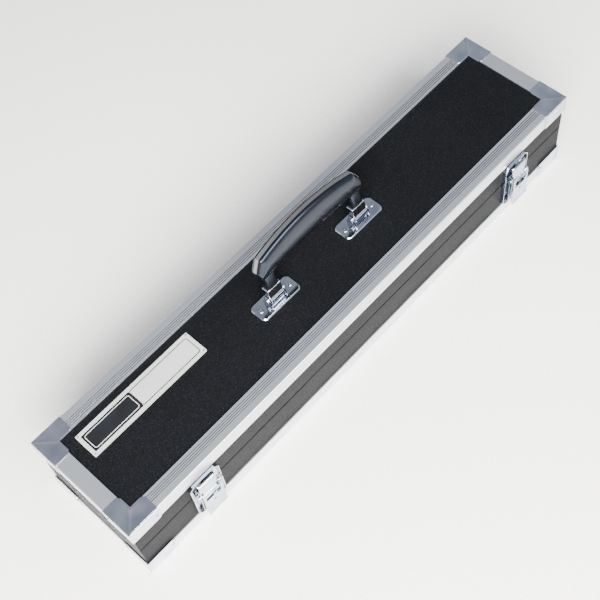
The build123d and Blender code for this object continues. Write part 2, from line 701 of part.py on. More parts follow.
def pivot_pins(x):
    """The two short pins that the lever turns on, one in each cheek."""
    pins = []
    y = out(LEVER_PIVOT_OUT)
    for side in (-1, 1):
        inside = x + side * (LEVER_WIDTH / 2 - LEVER_SHEET)
        outside = x + side * (CHEEK_CENTRE + LATCH_SHEET / 2)
        head = outside + side * PIVOT_HEAD
        pin = rod_x(LEVER_PIVOT_R, min(inside, outside), max(inside, outside), y, LEVER_PIVOT_Z)
        pin += rod_x(PIVOT_HEAD_R, min(outside, head), max(outside, head), y, LEVER_PIVOT_Z)
        pins.append(pin)
    return pins


def lever_profile():
    """The lever's side view below its pivot: face, flared tail and the back of its flanges."""
    face = LEVER_FACE_OUT
    tail = LEVER_TAIL_OUT
    back = LEVER_FLANGE_BACK
    return [(out(face), LEVER_PIVOT_Z), (out(face), LEVER_BEND_Z), (out(tail), LEVER_TAIL_Z),
            (out(tail - LEVER_SHEET), LEVER_TAIL_Z), (out(back + LEVER_EAR_R), LEVER_FLANGE_END),
            (out(back), LEVER_FLANGE_END + LEVER_EAR_R), (out(back), LEVER_PIVOT_Z)]


def lever(x):
    """The draw lever: a channel on the pivot pins, slotted so that the claw can swing out."""
    y = out(LEVER_PIVOT_OUT)
    half = LEVER_WIDTH / 2
    body = side_plate(lever_profile(), -half, half)
    shoulder = [(out(LEVER_FACE_OUT), LEVER_PIVOT_Z), (out(LEVER_PIVOT_OUT), LEVER_PIVOT_Z + LEVER_EAR_R),
                (out(LEVER_PIVOT_OUT), LEVER_PIVOT_Z)]
    body += side_plate(shoulder, -half, half) + rod_x(LEVER_EAR_R, -half, half, y, LEVER_PIVOT_Z)
    inside = half - LEVER_SHEET
    well = [(out(LEVER_FACE_OUT - LEVER_SHEET), LEVER_PIVOT_Z + LEVER_FACE_OUT),
            (out(LEVER_FACE_OUT - LEVER_SHEET), LEVER_BEND_Z),
            (out(LEVER_TAIL_OUT - LEVER_SHEET), LEVER_TAIL_Z),
            (out(0), LEVER_TAIL_Z), (out(0), LEVER_PIVOT_Z + LEVER_FACE_OUT)]
    body -= side_plate(well, -inside, inside)
    slot = CLAW_WIDTH / 2 + SLOT_FIT
    body -= block(-slot, slot, out(LEVER_TAIL_OUT), out(0), SLOT_BOTTOM_Z, LEVER_PIVOT_Z + LEVER_FACE_OUT)
    body -= rod_x(LEVER_PIVOT_R + RUNNING_FIT, -LEVER_WIDTH, LEVER_WIDTH, y, LEVER_PIVOT_Z)
    seat = CLAW_PIN_R + FASTENER_FIT
    body -= rod_x(seat, -LEVER_WIDTH, LEVER_WIDTH, out(CLAW_PIVOT_OUT), CLAW_PIVOT_Z)
    body -= Pos(0, out(LEVER_FACE_OUT), KEYHOLE_Z) * Rot(90, 0, 0) * Cylinder(KEYHOLE_R, 4 * LEVER_SHEET)
    return Pos(x, 0, 0) * body


def claw_pin(x):
    """The pin across the lever that the claw hangs on."""
    return rod_x(CLAW_PIN_R, x - LEVER_WIDTH / 2, x + LEVER_WIDTH / 2, out(CLAW_PIVOT_OUT), CLAW_PIVOT_Z)


def claw(x):
    """The claw: a rolled eye on its pin and a plate whose window drops over the catch."""
    half = CLAW_WIDTH / 2
    y = out(CLAW_PIVOT_OUT)
    body = rod_x(CLAW_BARREL_R, -half, half, y, CLAW_PIVOT_Z)
    body += block(-half, half, y - CLAW_SHEET / 2, y + CLAW_SHEET / 2, CLAW_PIVOT_Z, CLAW_TOP_Z)
    window = CATCH_WIDTH / 2 + WINDOW_SIDE_FIT
    body -= block(-window, window, y - CLAW_SHEET, y + CLAW_SHEET, CATCH_Z - WINDOW_DROP,
                  CATCH_Z + CATCH_SHEET + CATCH_FIT)
    body -= rod_x(CLAW_PIN_R + RUNNING_FIT, -LEVER_WIDTH, LEVER_WIDTH, y, CLAW_PIVOT_Z)
    return Pos(x, 0, 0) * body


def keeper(x):
    """The upper tray on the lid, with the catch that the claw hooks over."""
    plate = tray(LID_BOTTOM + LATCH_SPLIT_GAP, LATCH_TOP)
    half = CATCH_WIDTH / 2
    plate += block(-half, half, out(CATCH_REACH), out(0), CATCH_Z, CATCH_Z + CATCH_SHEET)
    return drilled(Pos(x, 0, 0) * plate, rivet_holes(keeper_rivet_places(), LATCH_RIVET_DEPTH))


# Hinges

def knuckle_spans(x, up):
    """The X spans of one leaf's knuckles: the base leaf has the outer ones."""
    pitch = HINGE_WIDTH / HINGE_KNUCKLES
    first = 1 if up > 0 else 0
    left = x - HINGE_WIDTH / 2
    return [(left + n * pitch + KNUCKLE_GAP / 2, left + (n + 1) * pitch - KNUCKLE_GAP / 2)
            for n in range(first, HINGE_KNUCKLES, 2)]


def hinge_leaf(x, up):
    """One leaf with its knuckles; up is 1 for the lid leaf and -1 for the base leaf."""
    half = HINGE_WIDTH / 2
    near = HINGE_Z + up * (HINGE_BARREL_R + KNUCKLE_GAP)
    far = HINGE_Z + up * HINGE_LEAF
    leaf = block(x - half, x + half, HALF_W, HALF_W + HINGE_SHEET, min(near, far), max(near, far))
    for x0, x1 in knuckle_spans(x, up):
        leaf += block(x0, x1, HALF_W, HALF_W + HINGE_SHEET, min(HINGE_Z, near), max(HINGE_Z, near))
        leaf += rod_x(HINGE_BARREL_R, x0, x1, HINGE_Y, HINGE_Z)
    fit = RUNNING_FIT if up > 0 else FASTENER_FIT
    leaf -= rod_x(HINGE_PIN_R + fit, x - HINGE_WIDTH, x + HINGE_WIDTH, HINGE_Y, HINGE_Z)
    return drilled(leaf, rivet_holes(hinge_rivet_places(up), HINGE_RIVET_DEPTH))


def hinge_pin(x):
    """The pin through all the knuckles of one hinge."""
    return rod_x(HINGE_PIN_R, x - HINGE_WIDTH / 2, x + HINGE_WIDTH / 2, HINGE_Y, HINGE_Z)


def base_parts():
    """Every node of the base."""
    nail_cuts = nail_holes(True)
    cuts = nail_cuts + rivet_holes(latch_base_rivet_places(), LATCH_RIVET_DEPTH)
    cuts += rivet_holes(hinge_rivet_places(-1), HINGE_RIVET_DEPTH)
    nodes = {"base_bottom_board": block(-HALF_L, HALF_L, -HALF_W, HALF_W, PANEL_BOTTOM, FLOOR_Z)}
    for side, board in side_boards(FLOOR_Z, BASE_HEIGHT, cuts).items():
        nodes["base_" + side + "_board"] = board
    for side, bar in four_trims(True).items():
        nodes["base_" + side + "_trim"] = drilled(bar, nail_cuts)
    for corner, cap in four_caps(True).items():
        nodes["base_cap_" + corner] = drilled(cap, nail_cuts)
    nodes["base_trim_nails"] = group(nails(True))
    nodes["inner_rim"] = inner_rim()
    nodes["base_floor_pad"] = floor_pad()
    nodes["blade_rest"] = knife_rest(BLADE_REST_X, BLADE_REST_LENGTH, BLADE_SLOT, BLADE_SLOT_DEPTH)
    nodes["handle_rest"] = knife_rest(HANDLE_REST_X, HANDLE_REST_LENGTH, HANDLE_SLOT, HANDLE_SLOT_DEPTH)
    pins = []
    for side, x in LATCH_CENTRES.items():
        nodes["latch_" + side + "_base_plate"] = latch_base(x)
        pins += pivot_pins(x)
    nodes["latch_pivot_pins"] = group(pins)
    for side, x in HINGE_CENTRES.items():
        nodes["hinge_" + side + "_base_leaf"] = hinge_leaf(x, -1)
    nodes["hinge_pins"] = group([hinge_pin(x) for x in HINGE_CENTRES.values()])
    nodes["base_rivets"] = group(rivets(latch_base_rivet_places(), LATCH_RIVET_DEPTH)
                                 + rivets(hinge_rivet_places(-1), HINGE_RIVET_DEPTH))
    return nodes


def lid_parts():
    """Every node of the lid."""
    nail_cuts = nail_holes(False)
    cuts = nail_cuts + rivet_holes(keeper_rivet_places(), LATCH_RIVET_DEPTH)
    cuts += rivet_holes(hinge_rivet_places(1), HINGE_RIVET_DEPTH)
    pin_cuts = [hole(place, facing, PIN_SHANK_R, PIN_LENGTH) for place, facing in plate_pin_places()]
    top_cuts = rivet_holes(bracket_rivet_places(), 2 * BRACKET_RIVET_DEPTH) + pin_cuts
    top = block(-HALF_L, HALF_L, -HALF_W, HALF_W, CEILING_Z, PANEL_TOP)
    nodes = {"lid_top_board": drilled(top, top_cuts)}
    for side, board in side_boards(LID_BOTTOM, CEILING_Z, cuts).items():
        nodes["lid_" + side + "_board"] = board
    for side, bar in four_trims(False).items():
        nodes["lid_" + side + "_trim"] = drilled(bar, nail_cuts)
    for corner, cap in four_caps(False).items():
        nodes["lid_cap_" + corner] = drilled(cap, nail_cuts)
    nodes["lid_trim_nails"] = group(nails(False))
    nodes["lid_pad"] = lid_pad()
    nodes["name_plate"] = name_plate(pin_cuts)
    nodes["name_plate_pins"] = group([stud(place, facing, PIN_HEAD_R, PIN_HEAD, PIN_SHANK_R, PIN_LENGTH)
                                      for place, facing in plate_pin_places()])
    for side, x in zip(SIDE_X, BRACKET_CENTRES):
        nodes["handle_" + side + "_bracket"] = bracket(x)
    nodes["handle_pins"] = group([handle_pin(x) for x in BRACKET_CENTRES])
    for side, x in LATCH_CENTRES.items():
        nodes["latch_" + side + "_keeper"] = keeper(x)
    for side, x in HINGE_CENTRES.items():
        nodes["hinge_" + side + "_lid_leaf"] = hinge_leaf(x, 1)
    nodes["lid_rivets"] = group(rivets(keeper_rivet_places(), LATCH_RIVET_DEPTH)
                                + rivets(hinge_rivet_places(1), HINGE_RIVET_DEPTH)
                                + rivets(bracket_rivet_places(), BRACKET_RIVET_DEPTH))
    return nodes


def moving_parts():
    """The handle, the latch levers and their claws."""
    nodes = {"handle_grip": grip(), "handle_strip": grip_strip()}
    for side, x in zip(SIDE_X, BRACKET_CENTRES):
        nodes["handle_" + side + "_lug"] = lug(x)
    for side, x in LATCH_CENTRES.items():
        nodes["latch_" + side + "_lever"] = lever(x)
        nodes["latch_" + side + "_claw_pin"] = claw_pin(x)
        nodes["latch_" + side + "_claw"] = claw(x)
    return nodes


os.makedirs("parts", exist_ok=True)
for maker in (base_parts, lid_parts, moving_parts):
    for node, shape in maker().items():
        export_step(shape, "parts/" + node + ".step")
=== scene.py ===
"""A slim knife case: laminated boards in grooved aluminium trim, with pressed corner caps,
two draw latches, two back hinges, a name plate and a moulded carrying handle."""

import logging
import math
from collections.abc import Iterable, Sequence
from dataclasses import dataclass, field
from enum import Enum

import bmesh
import bpy
from mathutils import Matrix, Vector, noise


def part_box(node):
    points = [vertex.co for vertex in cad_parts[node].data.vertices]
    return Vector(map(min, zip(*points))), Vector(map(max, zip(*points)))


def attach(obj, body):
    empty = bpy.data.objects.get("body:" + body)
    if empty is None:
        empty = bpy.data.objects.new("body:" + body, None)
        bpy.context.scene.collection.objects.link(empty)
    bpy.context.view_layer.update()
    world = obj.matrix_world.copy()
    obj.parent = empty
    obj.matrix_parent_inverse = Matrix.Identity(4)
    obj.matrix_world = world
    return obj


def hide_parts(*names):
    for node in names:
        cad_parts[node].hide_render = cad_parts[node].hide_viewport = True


MM = 0.001
MIDDLE_HEIGHT = 0.0413
WELD_MM = 0.002
FLAT_DEGREES = 0.6
BREAK_DEGREES = 38
CRISP_DEGREES = 42
LOG = logging.getLogger("knife_case")
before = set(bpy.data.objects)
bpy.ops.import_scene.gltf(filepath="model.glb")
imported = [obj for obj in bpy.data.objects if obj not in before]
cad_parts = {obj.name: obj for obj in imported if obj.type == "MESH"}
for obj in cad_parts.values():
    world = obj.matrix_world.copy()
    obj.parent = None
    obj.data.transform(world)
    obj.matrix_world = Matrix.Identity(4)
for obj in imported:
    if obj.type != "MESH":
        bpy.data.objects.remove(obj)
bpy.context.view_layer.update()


class Half(Enum):
    """The two halves of the case."""

    BASE = "base"
    LID = "lid"


def linear(code: str) -> tuple[float, float, float, float]:
    """Turn an sRGB hex colour into Blender's linear colour.

    Args:
        code: six hex digits, such as "c8cdd4".

    Returns:
        Linear red, green, blue and an alpha of one.
    """
    channels = [int(code[i : i + 2], 16) / 255 for i in (0, 2, 4)]
    values = [c / 12.92 if c <= 0.04045 else ((c + 0.055) / 1.055) ** 2.4 for c in channels]
    return values[0], values[1], values[2], 1.0


def add_node(tree: bpy.types.NodeTree, kind: str, **settings: object) -> bpy.types.Node:
    """Add one node with its settings and links.

    Args:
        tree: the tree it goes into.
        kind: the node's type name.
        settings: attributes by name; stops as (place, hex colour) pairs for a colour ramp;
            inputs as a dict of socket name or number to a value or to another node's output,
            which is then linked.

    Returns:
        The new node.
    """
    node = tree.nodes.new(kind)
    inputs = settings.pop("inputs", {})
    for n, (place, code) in enumerate(settings.pop("stops", ())):
        stops = node.color_ramp.elements
        stop = stops[n] if n < len(stops) else stops.new(place)
        stop.position = place
        stop.color = linear(code)
    for key, value in settings.items():
        setattr(node, key, value)
    for key, value in inputs.items():
        socket = node.inputs[key]
        if isinstance(value, bpy.types.NodeSocket):
            tree.links.new(value, socket)
        else:
            socket.default_value = value
    return node


def new_material(name: str) -> tuple[bpy.types.Material, bpy.types.NodeTree, bpy.types.Node]:
    """Make an empty material with a Principled shader.

    Args:
        name: the real material's name.

    Returns:
        The material, its tree and its shader.
    """
    material = bpy.data.materials.new(name)
    material.use_nodes = True
    tree = material.node_tree
    tree.nodes.clear()
    shader = add_node(tree, "ShaderNodeBsdfPrincipled")
    add_node(tree, "ShaderNodeOutputMaterial", inputs={"Surface": shader.outputs[0]})
    return material, tree, shader


def object_place(tree: bpy.types.NodeTree, scale: Sequence[float]) -> bpy.types.NodeSocket:
    """Object coordinates in metres, stretched by a scale on each axis.

    Args:
        tree: the material's tree.
        scale: the factor on X, Y and Z.

    Returns:
        The mapped vector.
    """
    where = add_node(tree, "ShaderNodeTexCoord")
    mapped = add_node(tree, "ShaderNodeMapping", inputs={"Vector": where.outputs["Object"]})
    mapped.inputs["Scale"].default_value = tuple(scale)
    return mapped.outputs[0]


@dataclass(frozen=True)
class GrainedLaminate:
    """Black vinyl laminate on plywood, embossed like leather.

    Near black and almost matt, with fine cool specks of painted highlight where the pebbles' tips
    would catch the light.
    The real pebbles are well under a millimetre wide. They are drawn at pebble_mm and
    speck_mm, coarser than real, so that they show in the render. Faces inside the box that
    `inside` gives, as middle and half size on each axis in metres, have the plain lining, and
    along the split a near black line is painted: the shade in the seam between the halves."""

    name: str = "black_leathergrain_vinyl_laminate"
    pebble_mm: float = 1.2
    speck_mm: float = 0.6
    deep: str = "08090a"
    middle: str = "0f1012"
    # the colour of the painted glints
    glint_tone: str = "2c2f36"
    lining: str = "0e0e10"
    # the colour of the painted shade in the seam
    seam_shade: str = "020202"
    gloss: float = 0.028
    rough: tuple[float, float] = (0.38, 0.54)
    emboss: float = 0.55
    emboss_mm: float = 0.10
    seam_height: float = 0.0445
    seam_half: float = 0.0008
    inside: tuple[tuple[float, float], ...] = ((0.0, 0.2442), (0.0, 0.0477), (MIDDLE_HEIGHT, 0.0358))

    def build(self) -> bpy.types.Material:
        """Make the material: outside grain with painted glints, inside lining, painted shade along
        the split.

        Returns:
            The material.
        """
        material, tree, shader = new_material(self.name)
        place = object_place(tree, (1, 1, 1))
        cells = add_node(tree, "ShaderNodeTexVoronoi", feature="SMOOTH_F1",
                         inputs={"Vector": place, "Scale": 1 / (self.pebble_mm * MM)})
        speck = add_node(tree, "ShaderNodeTexNoise",
                         inputs={"Vector": place, "Scale": 1 / (self.speck_mm * MM), "Detail": 1.0})
        drift = add_node(tree, "ShaderNodeTexNoise", inputs={"Vector": place, "Scale": 14.0})
        pebble = add_node(tree, "ShaderNodeMapRange",
                          inputs={0: cells.outputs[0], 1: 0.05, 2: 0.6, 3: 0.42, 4: 0.05})
        # painted highlight: light specks from a noise, added to the tone as glints
        glint = add_node(tree, "ShaderNodeMapRange",
                         inputs={0: speck.outputs[0], 1: 0.48, 2: 0.80, 3: 0.0, 4: 0.52})
        both = add_node(tree, "ShaderNodeMath", operation="ADD",
                        inputs={0: pebble.outputs[0], 1: glint.outputs[0]})
        tone = add_node(tree, "ShaderNodeMath", operation="MULTIPLY_ADD", use_clamp=True,
                        inputs={0: drift.outputs[0], 1: 0.15, 2: both.outputs[0]})
        grained = add_node(tree, "ShaderNodeValToRGB", inputs={0: tone.outputs[0]},
                           stops=((0.1, self.deep), (0.5, self.middle), (1.0, self.glint_tone)))
        apart = add_node(tree, "ShaderNodeSeparateXYZ", inputs={0: place})
        within = 1.0
        for axis, (middle, half) in enumerate(self.inside):
            near = add_node(tree, "ShaderNodeMath", operation="COMPARE",
                            inputs={0: apart.outputs[axis], 1: middle, 2: half})
            within = add_node(tree, "ShaderNodeMath", operation="MULTIPLY",
                              inputs={0: near.outputs[0], 1: within}).outputs[0]
        lined = add_node(tree, "ShaderNodeMix", data_type="RGBA", inputs={
            "Factor": within, 6: grained.outputs[0], 7: linear(self.lining)})
        # painted shade: a near black line where the halves meet
        seam = add_node(tree, "ShaderNodeMath", operation="COMPARE",
                        inputs={0: apart.outputs[2], 1: self.seam_height, 2: self.seam_half})
        edged = add_node(tree, "ShaderNodeMix", data_type="RGBA", inputs={
            "Factor": seam.outputs[0], 6: lined.outputs[2], 7: linear(self.seam_shade)})
        tree.links.new(edged.outputs[2], shader.inputs["Base Color"])
        skin = add_node(tree, "ShaderNodeMapRange",
                        inputs={0: cells.outputs[0], 3: self.rough[0], 4: self.rough[1]})
        rough = add_node(tree, "ShaderNodeMath", operation="MAXIMUM",
                         inputs={0: skin.outputs[0], 1: seam.outputs[0]})
        tree.links.new(rough.outputs[0], shader.inputs["Roughness"])
        shader.inputs["Specular IOR Level"].default_value = self.gloss
        bump = add_node(tree, "ShaderNodeBump", inputs={
            "Strength": self.emboss, "Distance": self.emboss_mm * MM, "Height": cells.outputs[0]})
        tree.links.new(bump.outputs[0], shader.inputs["Normal"])
        return material


@dataclass(frozen=True)
class BrushedAluminium:
    """Extruded aluminium, brushed along its length and clear anodised.

    Pale satin metal with fine streaks along the run, and painted shade: dull dark lines in its
    grooves. Real brush marks are about a tenth of a millimetre apart. They are drawn at
    streak_mm, coarser than real, so that they show."""

    name: str = "brushed_anodised_aluminium"
    along: int = 0
    streak_mm: float = 0.5
    dark: str = "b6bac0"
    pale: str = "dfe2e6"
    rough: tuple[float, float] = (0.26, 0.42)
    metal: float = 0.95
    # painted shade for the bottoms of the grooves
    groove_shade: str = "4e5054"
    run: float = 14.0
    cloud: float = 30.0
    scratch: float = 0.15
    scratch_mm: float = 0.02

    def build(self) -> bpy.types.Material:
        """Make the material with streaks along one axis.

        Returns:
            The material.
        """
        material, tree, shader = new_material(f"{self.name}_{'xyz'[self.along]}")
        fine = [1 / (self.streak_mm * MM)] * 3
        fine[self.along] = self.run
        streak = add_node(tree, "ShaderNodeTexNoise", inputs={
            "Vector": object_place(tree, fine), "Scale": 1.0, "Detail": 4.0, "Roughness": 0.65})
        cloud = add_node(tree, "ShaderNodeTexNoise", inputs={
            "Vector": object_place(tree, (1, 1, 1)), "Scale": self.cloud, "Detail": 3.0})
        brushed = add_node(tree, "ShaderNodeMapRange",
                           inputs={0: streak.outputs[0], 3: -0.1, 4: 0.75})
        mixed = add_node(tree, "ShaderNodeMath", operation="MULTIPLY_ADD", use_clamp=True,
                         inputs={0: cloud.outputs[0], 1: 0.35, 2: brushed.outputs[0]})
        bare = add_node(tree, "ShaderNodeValToRGB", inputs={0: mixed.outputs[0]},
                        stops=((0.15, self.dark), (0.85, self.pale)))
        # painted shade: the marked groove bottoms take a dark grey in place of the metal's colour
        groove = add_node(tree, "ShaderNodeAttribute", attribute_name="groove")
        colour = add_node(tree, "ShaderNodeMix", data_type="RGBA", inputs={
            "Factor": groove.outputs["Fac"], 6: bare.outputs[0], 7: linear(self.groove_shade)})
        tree.links.new(colour.outputs[2], shader.inputs["Base Color"])
        shader.inputs["Metallic"].default_value = self.metal
        satin = add_node(tree, "ShaderNodeMapRange",
                         inputs={0: mixed.outputs[0], 3: self.rough[1], 4: self.rough[0]})
        tree.links.new(satin.outputs[0], shader.inputs["Roughness"])
        bump = add_node(tree, "ShaderNodeBump", inputs={
            "Strength": self.scratch, "Distance": self.scratch_mm * MM, "Height": streak.outputs[0]})
        tree.links.new(bump.outputs[0], shader.inputs["Normal"])
        return material


@dataclass(frozen=True)
class PlatedSteel:
    """Pressed steel or brass, polished and plated.

    A bright mirror that the sheet's faint waves bend a little, with greyer smears. The fine
    specks of wear are drawn at speck_mm, coarser than real, so that they show."""

    name: str
    tint: str
    smear: str
    rough: tuple[float, float]
    wave_mm: float = 9.0
    wave: float = 0.10
    wave_depth_mm: float = 0.4
    speck_mm: float = 0.8

    def build(self) -> bpy.types.Material:
        """Make the material.

        Returns:
            The material.
        """
        material, tree, shader = new_material(self.name)
        place = object_place(tree, (1, 1, 1))
        smear = add_node(tree, "ShaderNodeTexNoise", inputs={
            "Vector": place, "Scale": 1 / (self.wave_mm * MM), "Detail": 1.0, "Roughness": 0.4})
        specks = add_node(tree, "ShaderNodeTexNoise", inputs={
            "Vector": place, "Scale": 1 / (self.speck_mm * MM), "Detail": 2.0})
        colour = add_node(tree, "ShaderNodeValToRGB", inputs={0: smear.outputs[0]},
                          stops=((0.32, self.smear), (0.62, self.tint)))
        tree.links.new(colour.outputs[0], shader.inputs["Base Color"])
        shader.inputs["Metallic"].default_value = 1.0
        worn = add_node(tree, "ShaderNodeMapRange",
                        inputs={0: specks.outputs[0], 3: self.rough[0], 4: self.rough[1]})
        tree.links.new(worn.outputs[0], shader.inputs["Roughness"])
        bump = add_node(tree, "ShaderNodeBump", inputs={
            "Strength": self.wave, "Distance": self.wave_depth_mm * MM, "Height": smear.outputs[0]})
        tree.links.new(bump.outputs[0], shader.inputs["Normal"])
        return material


@dataclass(frozen=True)
class MouldedPlastic:
    """Black moulded plastic, enamel or paper, by its gloss and its grain.

    The skin that a spark-eroded mould leaves gives a broad soft highlight with a slightly
    uneven edge. The grain is drawn at grain_mm, coarser than real, so that it shows."""

    name: str
    colour: str
    lighter: str
    rough: tuple[float, float] = (0.34, 0.48)
    grain_mm: float = 0.7
    grain: float = 0.12
    grain_depth_mm: float = 0.08
    gloss: float = 0.5
    sheen: str = "ffffff"
    rub: float = 55.0

    def build(self) -> bpy.types.Material:
        """Make the material.

        Returns:
            The material.
        """
        material, tree, shader = new_material(self.name)
        place = object_place(tree, (1, 1, 1))
        skin = add_node(tree, "ShaderNodeTexNoise", inputs={
            "Vector": place, "Scale": 1 / (self.grain_mm * MM), "Detail": 3.0})
        rubbed = add_node(tree, "ShaderNodeTexNoise", inputs={"Vector": place, "Scale": self.rub})
        colour = add_node(tree, "ShaderNodeValToRGB", inputs={0: rubbed.outputs[0]},
                          stops=((0.35, self.colour), (0.7, self.lighter)))
        tree.links.new(colour.outputs[0], shader.inputs["Base Color"])
        uneven = add_node(tree, "ShaderNodeMapRange",
                          inputs={0: skin.outputs[0], 3: self.rough[0], 4: self.rough[1]})
        tree.links.new(uneven.outputs[0], shader.inputs["Roughness"])
        shader.inputs["Specular IOR Level"].default_value = self.gloss
        shader.inputs["Specular Tint"].default_value = linear(self.sheen)
        bump = add_node(tree, "ShaderNodeBump", inputs={
            "Strength": self.grain, "Distance": self.grain_depth_mm * MM, "Height": skin.outputs[0]})
        tree.links.new(bump.outputs[0], shader.inputs["Normal"])
        return material


@dataclass(frozen=True)
class OpenCellFoam:
    """Cut open-cell foam: dull and dark, because its pores swallow the light.

    Real pores are about half a millimetre wide. They are drawn at pore_mm, coarser than real,
    so that they show."""

    name: str = "black_open_cell_foam"
    pore_mm: float = 1.2
    wall: str = "0d0d0f"
    pore: str = "040405"
    rough: float = 0.95
    gloss: float = 0.2
    depth: float = 0.8
    depth_mm: float = 0.3

    def build(self) -> bpy.types.Material:
        """Make the material.

        Returns:
            The material.
        """
        material, tree, shader = new_material(self.name)
        pores = add_node(tree, "ShaderNodeTexVoronoi", inputs={
            "Vector": object_place(tree, (1, 1, 1)), "Scale": 1 / (self.pore_mm * MM)})
        colour = add_node(tree, "ShaderNodeValToRGB", inputs={0: pores.outputs[0]},
                          stops=((0.1, self.pore), (0.55, self.wall)))
        tree.links.new(colour.outputs[0], shader.inputs["Base Color"])
        shader.inputs["Roughness"].default_value = self.rough
        shader.inputs["Specular IOR Level"].default_value = self.gloss
        bump = add_node(tree, "ShaderNodeBump", inputs={
            "Strength": self.depth, "Distance": self.depth_mm * MM, "Height": pores.outputs[0]})
        tree.links.new(bump.outputs[0], shader.inputs["Normal"])
        return material


@dataclass(frozen=True)
class PaintedFloor:
    """Plain pale sheet, painted matt: even, with a faint fibre that shows only close up.

    The fibre is about fibre_mm long, as in card."""

    name: str = "pale_matt_floor_sheet"
    pale: str = "eceae7"
    shade: str = "e2e0dc"
    fibre_mm: float = 2.0
    rough: float = 0.9
    gloss: float = 0.2
    relief: float = 0.25
    relief_mm: float = 0.3

    def build(self) -> bpy.types.Material:
        """Make the material.

        Returns:
            The material.
        """
        material, tree, shader = new_material(self.name)
        fibre = add_node(tree, "ShaderNodeTexNoise", inputs={
            "Vector": object_place(tree, (1, 1, 1)), "Scale": 1 / (self.fibre_mm * MM),
            "Detail": 3.0})
        colour = add_node(tree, "ShaderNodeValToRGB", inputs={0: fibre.outputs[0]},
                          stops=((0.35, self.shade), (0.65, self.pale)))
        tree.links.new(colour.outputs[0], shader.inputs["Base Color"])
        shader.inputs["Roughness"].default_value = self.rough
        shader.inputs["Specular IOR Level"].default_value = self.gloss
        bump = add_node(tree, "ShaderNodeBump", inputs={
            "Strength": self.relief, "Distance": self.relief_mm * MM, "Height": fibre.outputs[0]})
        tree.links.new(bump.outputs[0], shader.inputs["Normal"])
        return material


class Finishes:
    """Every finish of the case, built once."""

    def __init__(self) -> None:
        """Build the materials."""
        self.laminate = GrainedLaminate().build()
        self.long_trim = BrushedAluminium(along=0).build()
        self.end_trim = BrushedAluminium(along=1).build()
        # Bead-blasted and clear-coated sheet: paler and flatter than the trim.
        self.plate = BrushedAluminium(name="satin_plate_aluminium", streak_mm=0.35, dark="c4c5c4",
                                      pale="f0efec", metal=0.6).build()
        # Metallised plastic foil: greyer than real metal, with a soft shine.
        self.strip = BrushedAluminium(name="grey_metallised_strip", streak_mm=0.3, dark="77777a",
                                      pale="a4a3a6", rough=(0.3, 0.45)).build()
        # Nickel: a slightly violet grey mirror, softer than chrome.
        self.cap = PlatedSteel("nickel_plated_steel", "ccd0da", "b4b9c6", (0.16, 0.22),
                               wave_mm=14.0).build()
        # Chrome: the hardest, coldest mirror on the case.
        self.chrome = PlatedSteel("chrome_plated_steel", "b8bec8", "a2a9b5", (0.08, 0.13),
                                  wave_mm=12.0, wave=0.06).build()
        # Zinc: a dull bluish grey that blurs what it mirrors.
        self.hinge = PlatedSteel("zinc_plated_steel", "c2c6cb", "a4a9b0", (0.22, 0.38)).build()
        # Old brass nails: a warm dull glint in the trim.
        self.brass = PlatedSteel("tarnished_brass", "b9b0a0", "8d8373", (0.25, 0.4),
                                 wave_mm=1.2).build()
        # ABS from a polished mould: black with a cool highlight along the crown.
        self.grip = MouldedPlastic("black_moulded_abs", "050608", "08090c", (0.21, 0.28),
                                   grain=0.05, gloss=0.38, sheen="c8d8f4").build()
        # Stove enamel in the plate's fields: glossy black.
        self.enamel = MouldedPlastic("black_enamel", "0b0c0e", "121316", (0.18, 0.28)).build()
        # Paper on card: flat black with a visible fibre.
        self.rim = MouldedPlastic("black_paper_covered_card", "08080a", "0e0e11", (0.6, 0.8),
                                  grain_mm=1.5, grain=0.3).build()
        self.foam = OpenCellFoam().build()


def link(mesh: bpy.types.Mesh, name: str, material: bpy.types.Material) -> bpy.types.Object:
    """Put a mesh into the scene as a piece.

    Args:
        mesh: the mesh, already in its place.
        name: the piece's name.
        material: its only material.

    Returns:
        The object.
    """
    mesh.materials.clear()
    mesh.materials.append(material)
    piece = bpy.data.objects.new(name, mesh)
    bpy.context.scene.collection.objects.link(piece)
    return piece


def shade(work: bmesh.types.BMesh, sharp_degrees: float) -> None:
    """Shade all faces smooth and mark the edges sharper than an angle.

    Args:
        work: the mesh being made.
        sharp_degrees: edges sharper than this stay crisp.
    """
    limit = math.radians(sharp_degrees)
    for face in work.faces:
        face.smooth = True
    for edge in work.edges:
        edge.smooth = len(edge.link_faces) == 2 and edge.calc_face_angle(0.0) < limit


def welded(node: str) -> bmesh.types.BMesh:
    """A copy of the CAD node's mesh, its loose triangles joined and its flats made whole.

    Args:
        node: the CAD node.

    Returns:
        An editable mesh.
    """
    work = bmesh.new()
    work.from_mesh(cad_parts[node].data)
    bmesh.ops.remove_doubles(work, verts=work.verts, dist=WELD_MM * MM)
    bmesh.ops.dissolve_limit(work, angle_limit=math.radians(FLAT_DEGREES), verts=work.verts,
                             edges=work.edges, delimit=set())
    return work


def finish_mesh(work: bmesh.types.BMesh, name: str) -> bpy.types.Mesh:
    """Turn an editable mesh into a plain one and free it.

    Args:
        work: the editable mesh.
        name: the plain mesh's name.

    Returns:
        The plain mesh.
    """
    mesh = bpy.data.meshes.new(name)
    work.to_mesh(mesh)
    work.free()
    return mesh


def even_flats(piece: bpy.types.Object) -> None:
    """Shade each flat of a piece flat, so that only its broken edges catch the light.

    Args:
        piece: the piece.
    """
    modifier = piece.modifiers.new("flats", "WEIGHTED_NORMAL")
    modifier.mode = "FACE_AREA"
    modifier.weight = 100
    modifier.keep_sharp = True
    applied(piece)


